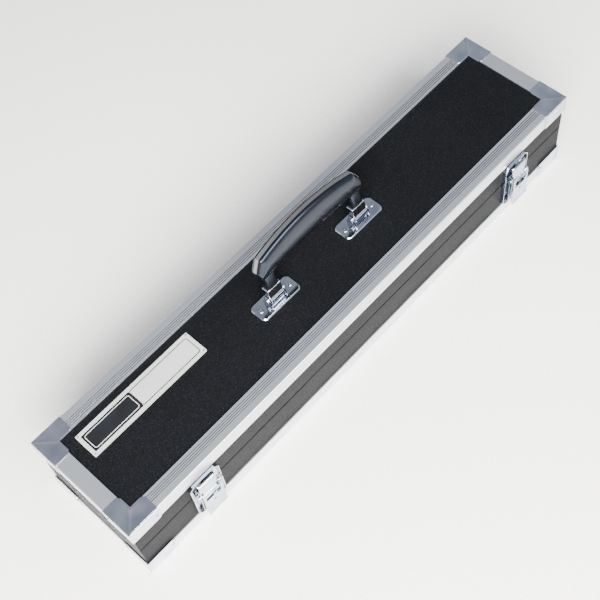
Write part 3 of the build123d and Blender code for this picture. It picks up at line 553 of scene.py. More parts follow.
def softened(node: str, name: str, body: str, material: bpy.types.Material,
             edge_mm: float) -> bpy.types.Object:
    """Replace a CAD node by the same shape with its sharp edges broken.

    Args:
        node: the CAD node.
        name: the new piece's name.
        body: the body that it rides on.
        material: its finish.
        edge_mm: the width of the broken edge.

    Returns:
        The new piece.
    """
    work = welded(node)
    limit = math.radians(BREAK_DEGREES)
    sharp = [e for e in work.edges if len(e.link_faces) == 2 and e.calc_face_angle(0.0) > limit]
    bmesh.ops.bevel(work, geom=sharp, offset=edge_mm * MM, offset_type="OFFSET", segments=2,
                    profile=0.5, affect="EDGES", clamp_overlap=True)
    shade(work, CRISP_DEGREES)
    piece = link(finish_mesh(work, name), name, material)
    even_flats(piece)
    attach(piece, body)
    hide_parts(node)
    return piece


def cast(node: str, name: str, body: str, material: bpy.types.Material, voxel_mm: float,
         rounds: int) -> bpy.types.Object:
    """Replace a CAD node by the same shape with every edge flowing, as a moulding or casting has.

    Args:
        node: the CAD node.
        name: the new piece's name.
        body: the body that it rides on.
        material: its finish.
        voxel_mm: how fine the new skin is.
        rounds: how often it is smoothed.

    Returns:
        The new piece.
    """
    work = welded(node)
    bmesh.ops.triangulate(work, faces=work.faces)
    return reskinned(work, node, name, body, material, voxel_mm, rounds)


def reskinned(work: bmesh.types.BMesh, node: str, name: str, body: str, material: bpy.types.Material,
              voxel_mm: float, rounds: int) -> bpy.types.Object:
    """Join closed shapes into one flowing skin that replaces a CAD node.

    Args:
        work: the closed shapes, which may overlap.
        node: the CAD node that the skin stands for.
        name: the new piece's name.
        body: the body that it rides on.
        material: its finish.
        voxel_mm: how fine the skin is.
        rounds: how often it is smoothed.

    Returns:
        The new piece.
    """
    piece = link(finish_mesh(work, name), name, material)
    remesh = piece.modifiers.new("skin", "REMESH")
    remesh.mode = "VOXEL"
    remesh.voxel_size = voxel_mm * MM
    smooth = piece.modifiers.new("flow", "CORRECTIVE_SMOOTH")
    smooth.iterations = rounds
    smooth.use_only_smooth = True
    applied(piece)
    for polygon in piece.data.polygons:
        polygon.use_smooth = True
    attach(piece, body)
    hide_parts(node)
    return piece


def applied(piece: bpy.types.Object) -> None:
    """Turn a piece's modifiers into plain mesh.

    Args:
        piece: the piece.
    """
    graph = bpy.context.evaluated_depsgraph_get()
    done = bpy.data.meshes.new_from_object(piece.evaluated_get(graph))
    materials = list(piece.data.materials)
    piece.modifiers.clear()
    piece.data = done
    piece.data.materials.clear()
    for material in materials:
        piece.data.materials.append(material)


def islands(node: str) -> list[tuple[Vector, Vector]]:
    """The boxes of a CAD node's separate solids.

    Args:
        node: the CAD node.

    Returns:
        Lowest and highest corner of each solid.
    """
    work = welded(node)
    boxes = []
    left = set(work.verts)
    while left:
        stack = [left.pop()]
        found = []
        while stack:
            vert = stack.pop()
            found.append(vert.co.copy())
            for edge in vert.link_edges:
                other = edge.other_vert(vert)
                if other in left:
                    left.remove(other)
                    stack.append(other)
        low = Vector([min(c[k] for c in found) for k in range(3)])
        high = Vector([max(c[k] for c in found) for k in range(3)])
        boxes.append((low, high))
    work.free()
    return sorted(boxes, key=lambda b: tuple(round(v, 5) for v in b[0]))


class FastenerSetter:
    """Sets lathed fasteners on points with Geometry Nodes: one head shape, many places."""

    def __init__(self) -> None:
        """Build the tree once."""
        tree = bpy.data.node_groups.new("set_fasteners", "GeometryNodeTree")
        face = tree.interface
        face.new_socket("Places", in_out="INPUT", socket_type="NodeSocketGeometry")
        self.shape_id = face.new_socket("Fastener", in_out="INPUT",
                                        socket_type="NodeSocketObject").identifier
        self.size_id = face.new_socket("Size", in_out="INPUT",
                                       socket_type="NodeSocketFloat").identifier
        self.metal_id = face.new_socket("Metal", in_out="INPUT",
                                        socket_type="NodeSocketMaterial").identifier
        face.new_socket("Fasteners", in_out="OUTPUT", socket_type="NodeSocketGeometry")
        start = add_node(tree, "NodeGroupInput")
        points = add_node(tree, "GeometryNodeMeshToPoints", inputs={"Mesh": start.outputs["Places"]})
        facing = add_node(tree, "GeometryNodeInputNamedAttribute", data_type="FLOAT_VECTOR",
                          inputs={"Name": "facing"})
        turn = add_node(tree, "FunctionNodeAlignEulerToVector", axis="Z",
                        inputs={"Vector": facing.outputs[0]})
        shape = add_node(tree, "GeometryNodeObjectInfo",
                         inputs={"Object": start.outputs["Fastener"]})
        spot = add_node(tree, "GeometryNodeInstanceOnPoints", inputs={
            "Points": points.outputs[0], "Instance": shape.outputs["Geometry"],
            "Rotation": turn.outputs[0], "Scale": start.outputs["Size"]})
        real = add_node(tree, "GeometryNodeRealizeInstances", inputs={0: spot.outputs[0]})
        smooth = add_node(tree, "GeometryNodeSetShadeSmooth", inputs={0: real.outputs[0]})
        metal = add_node(tree, "GeometryNodeSetMaterial", inputs={
            0: smooth.outputs[0], "Material": start.outputs["Metal"]})
        add_node(tree, "NodeGroupOutput", inputs={0: metal.outputs[0]})
        self.tree = tree

    def lathed(self, profile: Sequence[tuple[float, float]], steps: int = 20) -> bpy.types.Object:
        """A closed turned shape about Z, from (radius, height) in millimetres.

        Args:
            profile: points from the bottom middle to the top middle.
            steps: how many sides it has.

        Returns:
            A helper object that is removed after use.
        """
        work = bmesh.new()
        rings = []
        for radius, height in profile:
            if radius == 0:
                rings.append([work.verts.new((0, 0, height * MM))])
                continue
            turns = (2 * math.pi * n / steps for n in range(steps))
            rings.append([work.verts.new((radius * MM * math.cos(a), radius * MM * math.sin(a),
                                          height * MM)) for a in turns])
        for lower, upper in zip(rings, rings[1:]):
            for n in range(steps):
                m = (n + 1) % steps
                if len(lower) == 1:
                    work.faces.new((lower[0], upper[m], upper[n]))
                elif len(upper) == 1:
                    work.faces.new((lower[n], lower[m], upper[0]))
                else:
                    work.faces.new((lower[n], lower[m], upper[m], upper[n]))
        mesh = finish_mesh(work, "fastener_shape")
        shape = bpy.data.objects.new("fastener_shape", mesh)
        bpy.context.scene.collection.objects.link(shape)
        return shape

    def set_all(self, name: str, body: str, node: str, profile: Sequence[tuple[float, float]],
                places: Iterable[tuple[Vector, Vector]],
                metal: bpy.types.Material) -> bpy.types.Object:
        """Set one kind of fastener in all its places and replace its CAD node.

        Args:
            name: the piece's name.
            body: the body that it rides on.
            node: the CAD node that it stands for.
            profile: the fastener's turned outline.
            places: each head's seat and the way it faces.
            metal: its finish.

        Returns:
            The fasteners as one plain piece.
        """
        spots = list(places)
        mesh = bpy.data.meshes.new(name)
        mesh.from_pydata([tuple(p) for p, _ in spots], [], [])
        facing = mesh.attributes.new("facing", "FLOAT_VECTOR", "POINT")
        for n, (_, way) in enumerate(spots):
            facing.data[n].vector = way
        piece = link(mesh, name, metal)
        shape = self.lathed(profile)
        modifier = piece.modifiers.new("fasteners", "NODES")
        modifier.node_group = self.tree
        modifier[self.shape_id] = shape
        modifier[self.size_id] = 1.0
        modifier[self.metal_id] = metal
        applied(piece)
        bpy.data.objects.remove(shape)
        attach(piece, body)
        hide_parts(node)
        return piece


def outward(low: Vector, high: Vector) -> tuple[Vector, Vector]:
    """The outer end of a short straight fastener, and the way its head faces.

    Args:
        low: the lowest corner of its box.
        high: the highest corner.

    Returns:
        The middle of its outer end and the outward direction.
    """
    size = high - low
    spans = [size[k] for k in range(3)]
    pairs = [(abs(spans[(k + 1) % 3] - spans[(k + 2) % 3]), k) for k in range(3)]
    axis = min(pairs)[1]
    middle = (low + high) / 2
    centre = MIDDLE_HEIGHT if axis == 2 else 0.0
    way = Vector((0, 0, 0))
    way[axis] = 1.0 if middle[axis] > centre else -1.0
    end = middle.copy()
    end[axis] = high[axis] if way[axis] > 0 else low[axis]
    return end, way


@dataclass
class CornerCaps:
    """Eight pressed caps: three dished walls that meet in a mitred crease at the corner.

    The dish and the turned lip are what make each cap show two tones."""

    finishes: Finishes
    leg: float = 28.0
    width: float = 15.5
    drop: float = 17.0
    sheet: float = 0.5
    dish: float = 0.42
    ear: float = 2.5
    crease: float = 0.28
    crease_reach: float = 2.2
    lip: float = 0.9
    lip_slope: tuple[float, float] = (0.55, 0.4)
    round_edge: float = 0.9
    steps: int = 18
    length: float = 500.0
    depth: float = 107.0
    height: float = 82.6

    def flange_height(self, u: float, v: float, reach: float) -> float:
        """How far a wall's skin lies below its flat plane.

        Args:
            u: distance from the corner along the leg.
            v: distance from the outer edge across the wall.
            reach: the wall's width.

        Returns:
            The depth in millimetres.
        """
        edge = max(0.0, self.round_edge - v)
        rounding = self.round_edge - math.sqrt(max(0.0, self.round_edge**2 - edge**2))
        across = min(1.0, v / reach)
        along = min(1.0, u / self.leg)
        bowl = math.sin(math.pi * min(1.0, across * 1.02)) ** 0.8
        bowl *= math.sin(math.pi * (0.12 + 0.88 * along))
        return rounding + self.dish * max(0.0, bowl) * (1 - math.exp(-v / 1.6))

    def top_leg(self, work: bmesh.types.BMesh, crease: float) -> list[bmesh.types.BMVert]:
        """One mitred leg of the top wall, along +X from the corner at the origin.

        Args:
            work: the mesh being made.
            crease: the height of the mitre's ridge.

        Returns:
            The new vertices.
        """
        rows = []
        for j in range(self.steps + 1):
            v = self.width * (j / self.steps) ** 1.3
            start = v
            row = []
            for i in range(self.steps + 1):
                u = start + (self.leg - start) * (i / self.steps) ** 1.7
                cut = max(0.0, u + v - (self.leg + self.width - self.ear))
                z = -self.flange_height(u, v, self.width)
                z += crease * max(0.0, 1 - (u - v) / self.crease_reach) * min(1.0, v / 3)
                z -= max(0.0, v - (self.width - self.lip)) * self.lip_slope[0]
                row.append(work.verts.new(Vector((u - cut * 0.5, v - cut * 0.5, z)) * MM))
            rows.append(row)
        return self.skin(work, rows)

    def side_leg(self, work: bmesh.types.BMesh) -> list[bmesh.types.BMVert]:
        """One side wall, along +X from the corner and down from the top.

        Args:
            work: the mesh being made.

        Returns:
            The new vertices.
        """
        rows = []
        for j in range(self.steps + 1):
            drop = self.drop * (j / self.steps) ** 1.15
            row = []
            for i in range(self.steps + 1):
                u = self.leg * i / self.steps
                cut = max(0.0, u + drop - (self.leg + self.drop - self.ear))
                near = self.flange_height(drop, u, self.leg) * 0.6
                near = near if u < self.round_edge else 0.0
                depth = max(self.flange_height(u, drop, self.drop), near)
                depth += max(0.0, drop - (self.drop - self.lip)) * self.lip_slope[1]
                place = Vector((u - cut * 0.5, depth, cut * 0.5 - drop))
                row.append(work.verts.new(place * MM))
            rows.append(row)
        return self.skin(work, rows)

    @staticmethod
    def skin(work: bmesh.types.BMesh,
             rows: list[list[bmesh.types.BMVert]]) -> list[bmesh.types.BMVert]:
        """Join a grid of vertices with faces.

        Args:
            work: the mesh being made.
            rows: the grid.

        Returns:
            All its vertices.
        """
        for lower, upper in zip(rows, rows[1:]):
            for a, b, c, d in zip(lower, lower[1:], upper[1:], upper):
                corners = list(dict.fromkeys((a, b, c, d)))
                if len(corners) > 2:
                    work.faces.new(corners)
        return [v for row in rows for v in row]

    def shell(self, crease: float) -> bpy.types.Mesh:
        """One cap at the origin, its walls towards +X, +Y and -Z, with its sheet's thickness.

        Args:
            crease: the height of the mitre's ridge, 0 for the caps that stand on the floor.

        Returns:
            The cap's closed mesh.
        """
        work = bmesh.new()
        swap = Matrix(((0, 1, 0, 0), (1, 0, 0, 0), (0, 0, 1, 0), (0, 0, 0, 1)))
        self.top_leg(work, crease)
        bmesh.ops.transform(work, matrix=swap, verts=self.top_leg(work, crease))
        self.side_leg(work)
        bmesh.ops.transform(work, matrix=swap, verts=self.side_leg(work))
        bmesh.ops.remove_doubles(work, verts=work.verts, dist=0.06 * MM)
        bmesh.ops.recalc_face_normals(work, faces=work.faces)
        highest = max(work.faces, key=lambda f: f.calc_center_median().z)
        if highest.normal.z < 0:
            bmesh.ops.reverse_faces(work, faces=work.faces)
        shade(work, 33)
        for edge in work.edges:
            on_top = all(abs(v.co.x - v.co.y) < 0.01 * MM and v.co.z > -2 * MM for v in edge.verts)
            edge.smooth = edge.smooth and not on_top
        mesh = finish_mesh(work, "cap_shell")
        helper = link(mesh, "cap_shell", self.finishes.cap)
        wall = helper.modifiers.new("sheet", "SOLIDIFY")
        wall.thickness = self.sheet * 0.8 * MM
        wall.offset = -1.0
        applied(helper)
        done = helper.data
        bpy.data.objects.remove(helper)
        return done

    def build(self) -> None:
        """Set the cap on all eight corners."""
        for half, sz in ((Half.BASE, -1), (Half.LID, 1)):
            shell = self.shell(self.crease if half is Half.LID else 0.0)
            for face, sy in (("front", -1), ("back", 1)):
                for end, sx in (("left", -1), ("right", 1)):
                    turn = Matrix.Diagonal((-sx, -sy, sz, 1))
                    place = Matrix.Translation((sx * self.length / 2 * MM, sy * self.depth / 2 * MM,
                                                self.height * MM if sz > 0 else 0))
                    mesh = shell.copy()
                    mesh.transform(place @ turn)
                    if sx * sy * sz < 0:
                        mesh.flip_normals()
                    node = f"{half.value}_cap_{face}_{end}"
                    piece = link(mesh, f"{half.value}_{face}_{end}_corner_cap", self.finishes.cap)
                    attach(piece, half.value)
                    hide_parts(node)
                    LOG.info("corner cap: %s", node)


@dataclass
class Shell:
    """The boards, the edge trim, the inner rim and the foam."""

    finishes: Finishes
    sides: tuple[str, ...] = ("front", "back", "left", "right")
    trim_edge: float = 0.15
    board_edge: float = 0.6
    groove_sunk: tuple[float, float] = (0.2, 0.5)
    groove_limit: float = 49.5
    run_limit: float = 247.0
    pad_voxel: float = 1.4
    rest_voxel: float = 0.8
    foam_rounds: int = 6
    foam_sink: float = 0.12
    foam_swing: float = 0.10
    foam_wave: float = 90.0

    def boards(self) -> None:
        """Wrap the laminate round each board's edges, and round the card rim's edges."""
        for half in Half:
            flat = "bottom" if half is Half.BASE else "top"
            for side in (*self.sides, flat):
                node = f"{half.value}_{side}"
                piece = softened(f"{node}_board", f"{node}_laminated_board", half.value,
                                 self.finishes.laminate, self.board_edge)
        rim = softened("inner_rim", "card_rim", "base", self.finishes.rim, self.board_edge)
        LOG.info("boards and rim built")

    def trims(self) -> None:
        """Break the edges of each trim and brush it along its run."""
        for half in Half:
            for side in self.sides:
                long = side in ("front", "back")
                metal = self.finishes.long_trim if long else self.finishes.end_trim
                name = f"{half.value}_{side}_edge_trim"
                piece = softened(f"{half.value}_{side}_trim", name, half.value, metal,
                                 self.trim_edge)
                self.paint_groove_shade(piece, half)
                LOG.info("trim: %s", name)

    def paint_groove_shade(self, piece: bpy.types.Object, half: Half) -> None:
        """Mark the bottoms of the grooves in a flange, where painted shade darkens them.

        Args:
            piece: the trim.
            half: the half of the case that it is on.
        """
        heights = [vert.co.z / MM for vert in piece.data.vertices]
        face = max(heights) if half is Half.LID else min(heights)
        marks = piece.data.attributes.new("groove", "FLOAT", "POINT")
        for n, vert in enumerate(piece.data.vertices):
            sunk = abs(face - heights[n])
            inner = abs(vert.co.y) / MM < self.groove_limit and abs(vert.co.x) / MM < self.run_limit
            # groove bottoms that take the painted shade
            shaded = inner and self.groove_sunk[0] < sunk < self.groove_sunk[1]
            marks.data[n].value = 1.0 if shaded else 0.0

    def foams(self) -> None:
        """Replace each foam solid by a soft-edged, slightly uneven one that stays inside it."""
        for node, body, name, voxel in (
            ("base_floor_pad", "base", "floor_foam", self.pad_voxel),
            ("lid_pad", "lid", "lid_foam", self.pad_voxel),
            ("blade_rest", "base", "blade_rest_foam", self.rest_voxel),
            ("handle_rest", "base", "handle_rest_foam", self.rest_voxel),
        ):
            piece = cast(node, name, body, self.finishes.foam, voxel, self.foam_rounds)
            ways = [vert.normal.copy() for vert in piece.data.vertices]
            for vert, way in zip(piece.data.vertices, ways):
                sink = self.foam_sink + self.foam_swing * noise.noise(vert.co * self.foam_wave)
                vert.co -= way * sink * MM
            LOG.info("foam: %s", name)

    def build(self) -> None:
        """Build it all."""
        self.boards()
        self.trims()
        self.foams()


@dataclass
class Fasteners:
    """Nails, rivets and plate pins."""

    finishes: Finishes
    setter: FastenerSetter = field(default_factory=FastenerSetter)

    def dome(self, radius: float, head: float, shank: float, depth: float, sink: float = 0.0,
             tail: float = 0.0) -> list[tuple[float, float]]:
        """A domed head with its shank, seen from the side, with its top at height 0.

        Args:
            radius: the head's radius.
            head: the head's height.
            shank: the shank's radius.
            depth: the shank's length below the head.
            sink: the depth of the dimple in the head.
            tail: the radius of the clinched end, or 0 for a plain end.

        Returns:
            The outline from the bottom middle to the top middle.
        """
        low = -head - depth
        outline = [(0.0, low)]
        if tail:
            outline += [(tail * 0.7, low), (tail, low + head * 0.5), (tail, low + head),
                        (shank, low + head)]
        else:
            outline += [(shank * 0.8, low), (shank, low + 0.3)]
        outline += [(shank, -head), (radius, -head), (radius, -head * 0.7)]
        for n in range(1, 7):
            angle = math.radians(15 * n)
            outline.append((radius * (0.36 + 0.64 * math.cos(angle)),
                            -head * 0.7 * (1 - math.sin(angle))))
        outline += [(radius * 0.3, -sink * 0.35), (radius * 0.2, -sink * 0.8), (0.0, -sink)]
        return outline

    def build(self) -> None:
        """Set every fastener."""
        nail = self.dome(radius=1.1, head=0.5, shank=0.6, depth=4.5, sink=0.12)
        rivet = self.dome(radius=2.0, head=0.8, shank=1.2, depth=5.3, sink=0.25, tail=2.0)
        pin = self.dome(radius=0.8, head=0.3, shank=0.5, depth=3.2)
        for half in Half:
            body = half.value
            self.setter.set_all(f"{body}_nails", body, f"{body}_trim_nails", nail,
                                [outward(*box) for box in islands(f"{body}_trim_nails")],
                                self.finishes.brass)
            self.setter.set_all(f"{body}_rivet_set", body, f"{body}_rivets", rivet,
                                [outward(*box) for box in islands(f"{body}_rivets")],
                                self.finishes.chrome)
        self.setter.set_all("plate_pins", "lid", "name_plate_pins", pin,
                            [outward(*box) for box in islands("name_plate_pins")],
                            self.finishes.chrome)
        LOG.info("nails, rivets and pins set")


@dataclass
class NamePlate:
    """A satin plate with a black field, a silver field and a thin black outline, all blank."""

    finishes: Finishes
    border: float = 3.0
    split: float = 47.2
    divider: float = 0.8
    inlay: float = 0.23
    line: float = 0.6
    corner: float = 2.2
    sunk: float = 0.2
    key_rise: float = 0.06

    def rounded(self, x0: float, x1: float, y0: float, y1: float, radius: float) -> list[Vector]:
        """The outline of a rounded rectangle, in millimetres, anticlockwise.

        Args:
            x0: left.
            x1: right.
            y0: front.
            y1: back.
            radius: of its corners.

        Returns:
            The points.
        """
        points = []
        for cx, cy, start in ((x1 - radius, y0 + radius, -90), (x1 - radius, y1 - radius, 0),
                              (x0 + radius, y1 - radius, 90), (x0 + radius, y0 + radius, 180)):
            for n in range(7):
                angle = math.radians(start + 15 * n)
                points.append(Vector((cx + radius * math.cos(angle),
                                      cy + radius * math.sin(angle), 0)))
        return points

    def slab(self, name: str, outer: list[Vector], inner: list[Vector] | None, z: float,
             material: bpy.types.Material) -> None:
        """A flat inlay, whole or a ring, standing on height z.

        Args:
            name: the piece's name.
            outer: its outline.
            inner: the hole's outline, with as many points, or None.
            z: the height that it stands on.
            material: its finish.
        """
        work = bmesh.new()
        loops = [outer] if inner is None else [outer, inner]
        low = [[work.verts.new((p.x * MM, p.y * MM, z * MM)) for p in loop] for loop in loops]
        top = z + self.inlay
        high = [[work.verts.new((p.x * MM, p.y * MM, top * MM)) for p in loop] for loop in loops]
        count = len(outer)
        if inner is None:
            work.faces.new(high[0])
            work.faces.new(list(reversed(low[0])))
        for n in range(count):
            m = (n + 1) % count
            work.faces.new((low[0][n], low[0][m], high[0][m], high[0][n]))
            if inner is not None:
                work.faces.new((low[1][m], low[1][n], high[1][n], high[1][m]))
                work.faces.new((high[0][n], high[0][m], high[1][m], high[1][n]))
                work.faces.new((low[0][m], low[0][n], low[1][n], low[1][m]))
        piece = link(finish_mesh(work, name), name, material)
        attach(piece, "lid")

    def build(self) -> None:
        """Build the plate and its inlays."""
        plate = softened("name_plate", "plate_blank", "lid", self.finishes.plate, 0.15)
        low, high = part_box("name_plate")
        x0, x1 = low[0] / MM + self.border, high[0] / MM - self.border
        y0, y1 = low[1] / MM + self.border, high[1] / MM - self.border
        z = high[2] / MM - self.sunk
        split = x0 + self.split
        gap = self.divider / 2
        dark = self.finishes.enamel
        self.slab("plate_dark_field", self.rounded(x0 + 0.1, split + gap, y0 + 0.1, y1 - 0.1, 0.5),
                  None, z, dark)
        left = (x0 + 1.6, split - 1.2, y0 + 1.6, y1 - 1.6)
        inset = (self.line, -self.line, self.line, -self.line)
        self.slab("plate_keyline", self.rounded(*left, self.corner),
                  self.rounded(*(v + d for v, d in zip(left, inset)), self.corner - self.line),
                  z + self.key_rise, self.finishes.plate)
        right = (split + gap, x1 - 0.1, y0 + 0.1, y1 - 0.1)
        self.slab("plate_outline", self.rounded(*right, self.corner),
                  self.rounded(*(v + d for v, d in zip(right, inset)), self.corner - self.line),
                  z, dark)
        LOG.info("name plate built")


@dataclass
class Handle:
    """The moulded grip, its metallised strip, the cast lugs and the pressed brackets.

    The grip is drawn upright over the pins and then leaned back. Its flanks swell away from a
    narrow crown, so that the strip keeps the same thin black lip all along."""

    finishes: Finishes
    pivot: tuple[float, float, float] = (1.5, 0.0, 88.6)
    lean: float = 11.5
    foot: tuple[float, float] = (54.6, 26.0)
    waist: tuple[float, float] = (56.7, 34.7)
    shoulder: tuple[float, float] = (50.9, 44.5)
    top: float = 52.4
    arch: float = 28.0
    crown: float = 5.0
    swell: float = 7.4
    swell_depth: float = 11.0
    foot_width: float = 6.4
    foot_depth: float = 13.0
    neck: tuple[float, float, float, float] = (6.0, 4.2, 12.0, 32.0)
    neck_place: float = 47.75
    neck_steps: int = 32
    grip_voxel: float = 0.45
    grip_rounds: int = 4
    lug_voxel: float = 0.3
    lug_rounds: int = 18
    columns: int = 96
    rows: int = 26

    @staticmethod
    def arc(x: float, edge: tuple[float, float], middle: float) -> float:
        """The height of a circular arc at x, through both edges and its middle.

        Args:
            x: where along the grip.
            edge: the arc's end, as half-length and height.
            middle: its height at the centre.

        Returns:
            The height.
        """
        rise = middle - edge[1]
        radius = (edge[0] ** 2 + rise**2) / (2 * rise)
        return middle - radius + math.copysign(math.sqrt(radius**2 - x**2), rise)

    def lower(self, x: float) -> float:
        """The grip's underside.

        Args:
            x: where along the grip.

        Returns:
            The height above the pin.
        """
        if abs(x) <= self.foot[0]:
            return self.arc(x, self.foot, self.arch)
        part = (abs(x) - self.foot[0]) / (self.waist[0] - self.foot[0])
        return self.foot[1] + part * (self.waist[1] - self.foot[1])

    def upper(self, x: float) -> float:
        """The grip's top.

        Args:
            x: where along the grip.

        Returns:
            The height above the pin.
        """
        if abs(x) <= self.shoulder[0]:
            return self.arc(x, self.shoulder, self.top)
        part = (abs(x) - self.shoulder[0]) / (self.waist[0] - self.shoulder[0])
        return self.shoulder[1] + part * (self.waist[1] - self.shoulder[1])

    def below_crown(self, x: float, height: float) -> float:
        """How far a point of the silhouette lies inside the crown's edge.

        Args:
            x: where along the grip.
            height: above the pin.

        Returns:
            The distance in millimetres.
        """
        ax, ay = self.shoulder
        bx, by = self.waist
        slope = math.hypot(bx - ax, by - ay)
        end = ((bx - abs(x)) * (ay - by) - (height - by) * (bx - ax)) / slope
        return max(0.0, min(self.upper(x) - height, end) if abs(x) <= ax else end)

    def half_width(self, x: float, height: float) -> float:
        """Half the grip's thickness at a point of its silhouette.

        Args:
            x: where along the grip.
            height: above the pin.

        Returns:
            The half thickness.
        """
        crown = min(1.0, self.below_crown(x, height) / self.swell_depth)
        foot = min(1.0, max(0.0, height - self.lower(x)) / self.foot_depth)
        full = self.crown + self.swell * math.sqrt(1 - (1 - crown) ** 2)
        spread = self.crown + self.swell - self.foot_width
        low = self.foot_width + spread * math.sqrt(1 - (1 - foot) ** 2)
        return min(full, low) / 2

    def flank(self, work: bmesh.types.BMesh, side: int) -> list[list[bmesh.types.BMVert]]:
        """The vertices of one flank, column by column.

        Args:
            work: the mesh being made.
            side: -1 for the front, 1 for the back.

        Returns:
            The columns.
        """
        grid = []
        for i in range(self.columns + 1):
            x = -math.cos(math.pi * i / self.columns) * (self.waist[0] - 0.1)
            low, high = self.lower(x), self.upper(x)
            column = []
            for j in range(self.rows + 1):
                part = 0.5 - 0.5 * math.cos(math.pi * j / self.rows)
                height = low + (high - low) * part
                y = side * self.half_width(x, height)
                column.append(work.verts.new((x * MM, y * MM, height * MM)))
            grid.append(column)
        return grid

    def body(self, work: bmesh.types.BMesh) -> None:
        """Make the closed barrel of the grip.

        Args:
            work: the mesh being made.
        """
        front, back = self.flank(work, -1), self.flank(work, 1)
        for grid in (front, back):
            for left, right in zip(grid, grid[1:]):
                for a, b, c, d in zip(left, right, right[1:], left[1:]):
                    work.faces.new((a, b, c, d))
        rim = [(i, 0) for i in range(self.columns)]
        rim += [(self.columns, j) for j in range(self.rows)]
        rim += [(i, self.rows) for i in range(self.columns, 0, -1)]
        rim += [(0, j) for j in range(self.rows, 0, -1)]
        for (a, b), (c, d) in zip(rim, rim[1:] + rim[:1]):
            work.faces.new((front[a][b], back[a][b], back[c][d], front[c][d]))

    def necks(self, work: bmesh.types.BMesh) -> None:
        """Make the two rounded necks that carry the lugs.

        Args:
            work: the mesh being made.
        """
        half_x, half_y, low, high = self.neck
        for side in (-1, 1):
            loops = []
            for height in (low, high):
                loop = []
                for n in range(self.neck_steps):
                    angle = 2 * math.pi * n / self.neck_steps
                    c, s = math.cos(angle), math.sin(angle)
                    x = side * self.neck_place + math.copysign(abs(c) ** 0.5, c) * half_x
                    y = math.copysign(abs(s) ** 0.6, s) * half_y
                    loop.append(work.verts.new((x * MM, y * MM, height * MM)))
                loops.append(loop)
            for n in range(self.neck_steps):
                m = (n + 1) % self.neck_steps
                work.faces.new((loops[0][n], loops[0][m], loops[1][m], loops[1][n]))
            work.faces.new(list(reversed(loops[0])))
            work.faces.new(loops[1])

    def grip(self) -> bpy.types.Object:
        """Loft the grip, join its necks to it and lean it back.

        Returns:
            The grip.
        """
        work = bmesh.new()
        self.body(work)
        self.necks(work)
        bmesh.ops.recalc_face_normals(work, faces=work.faces)
        px, py, pz = (v * MM for v in self.pivot)
        place = Matrix.Translation((px, py, pz)) @ Matrix.Rotation(math.radians(-self.lean), 4, "X")
        bmesh.ops.transform(work, matrix=place, verts=work.verts)
        return reskinned(work, "handle_grip", "moulded_grip", "handle", self.finishes.grip,
                         self.grip_voxel, self.grip_rounds)

    def build(self) -> None:
        """Build the handle."""
        self.grip()
        strip = softened("handle_strip", "grip_metal_strip", "handle", self.finishes.strip, 0.08)
        for side in ("left", "right"):
            lug = cast(f"handle_{side}_lug", f"{side}_cast_lug", "handle", self.finishes.chrome,
                       self.lug_voxel, self.lug_rounds)
            bracket = softened(f"handle_{side}_bracket", f"{side}_bracket_plate", "lid",
                               self.finishes.chrome, 0.18)
        pins = softened("handle_pins", "headed_handle_pins", "lid", self.finishes.chrome, 0.12)
        LOG.info("handle built")


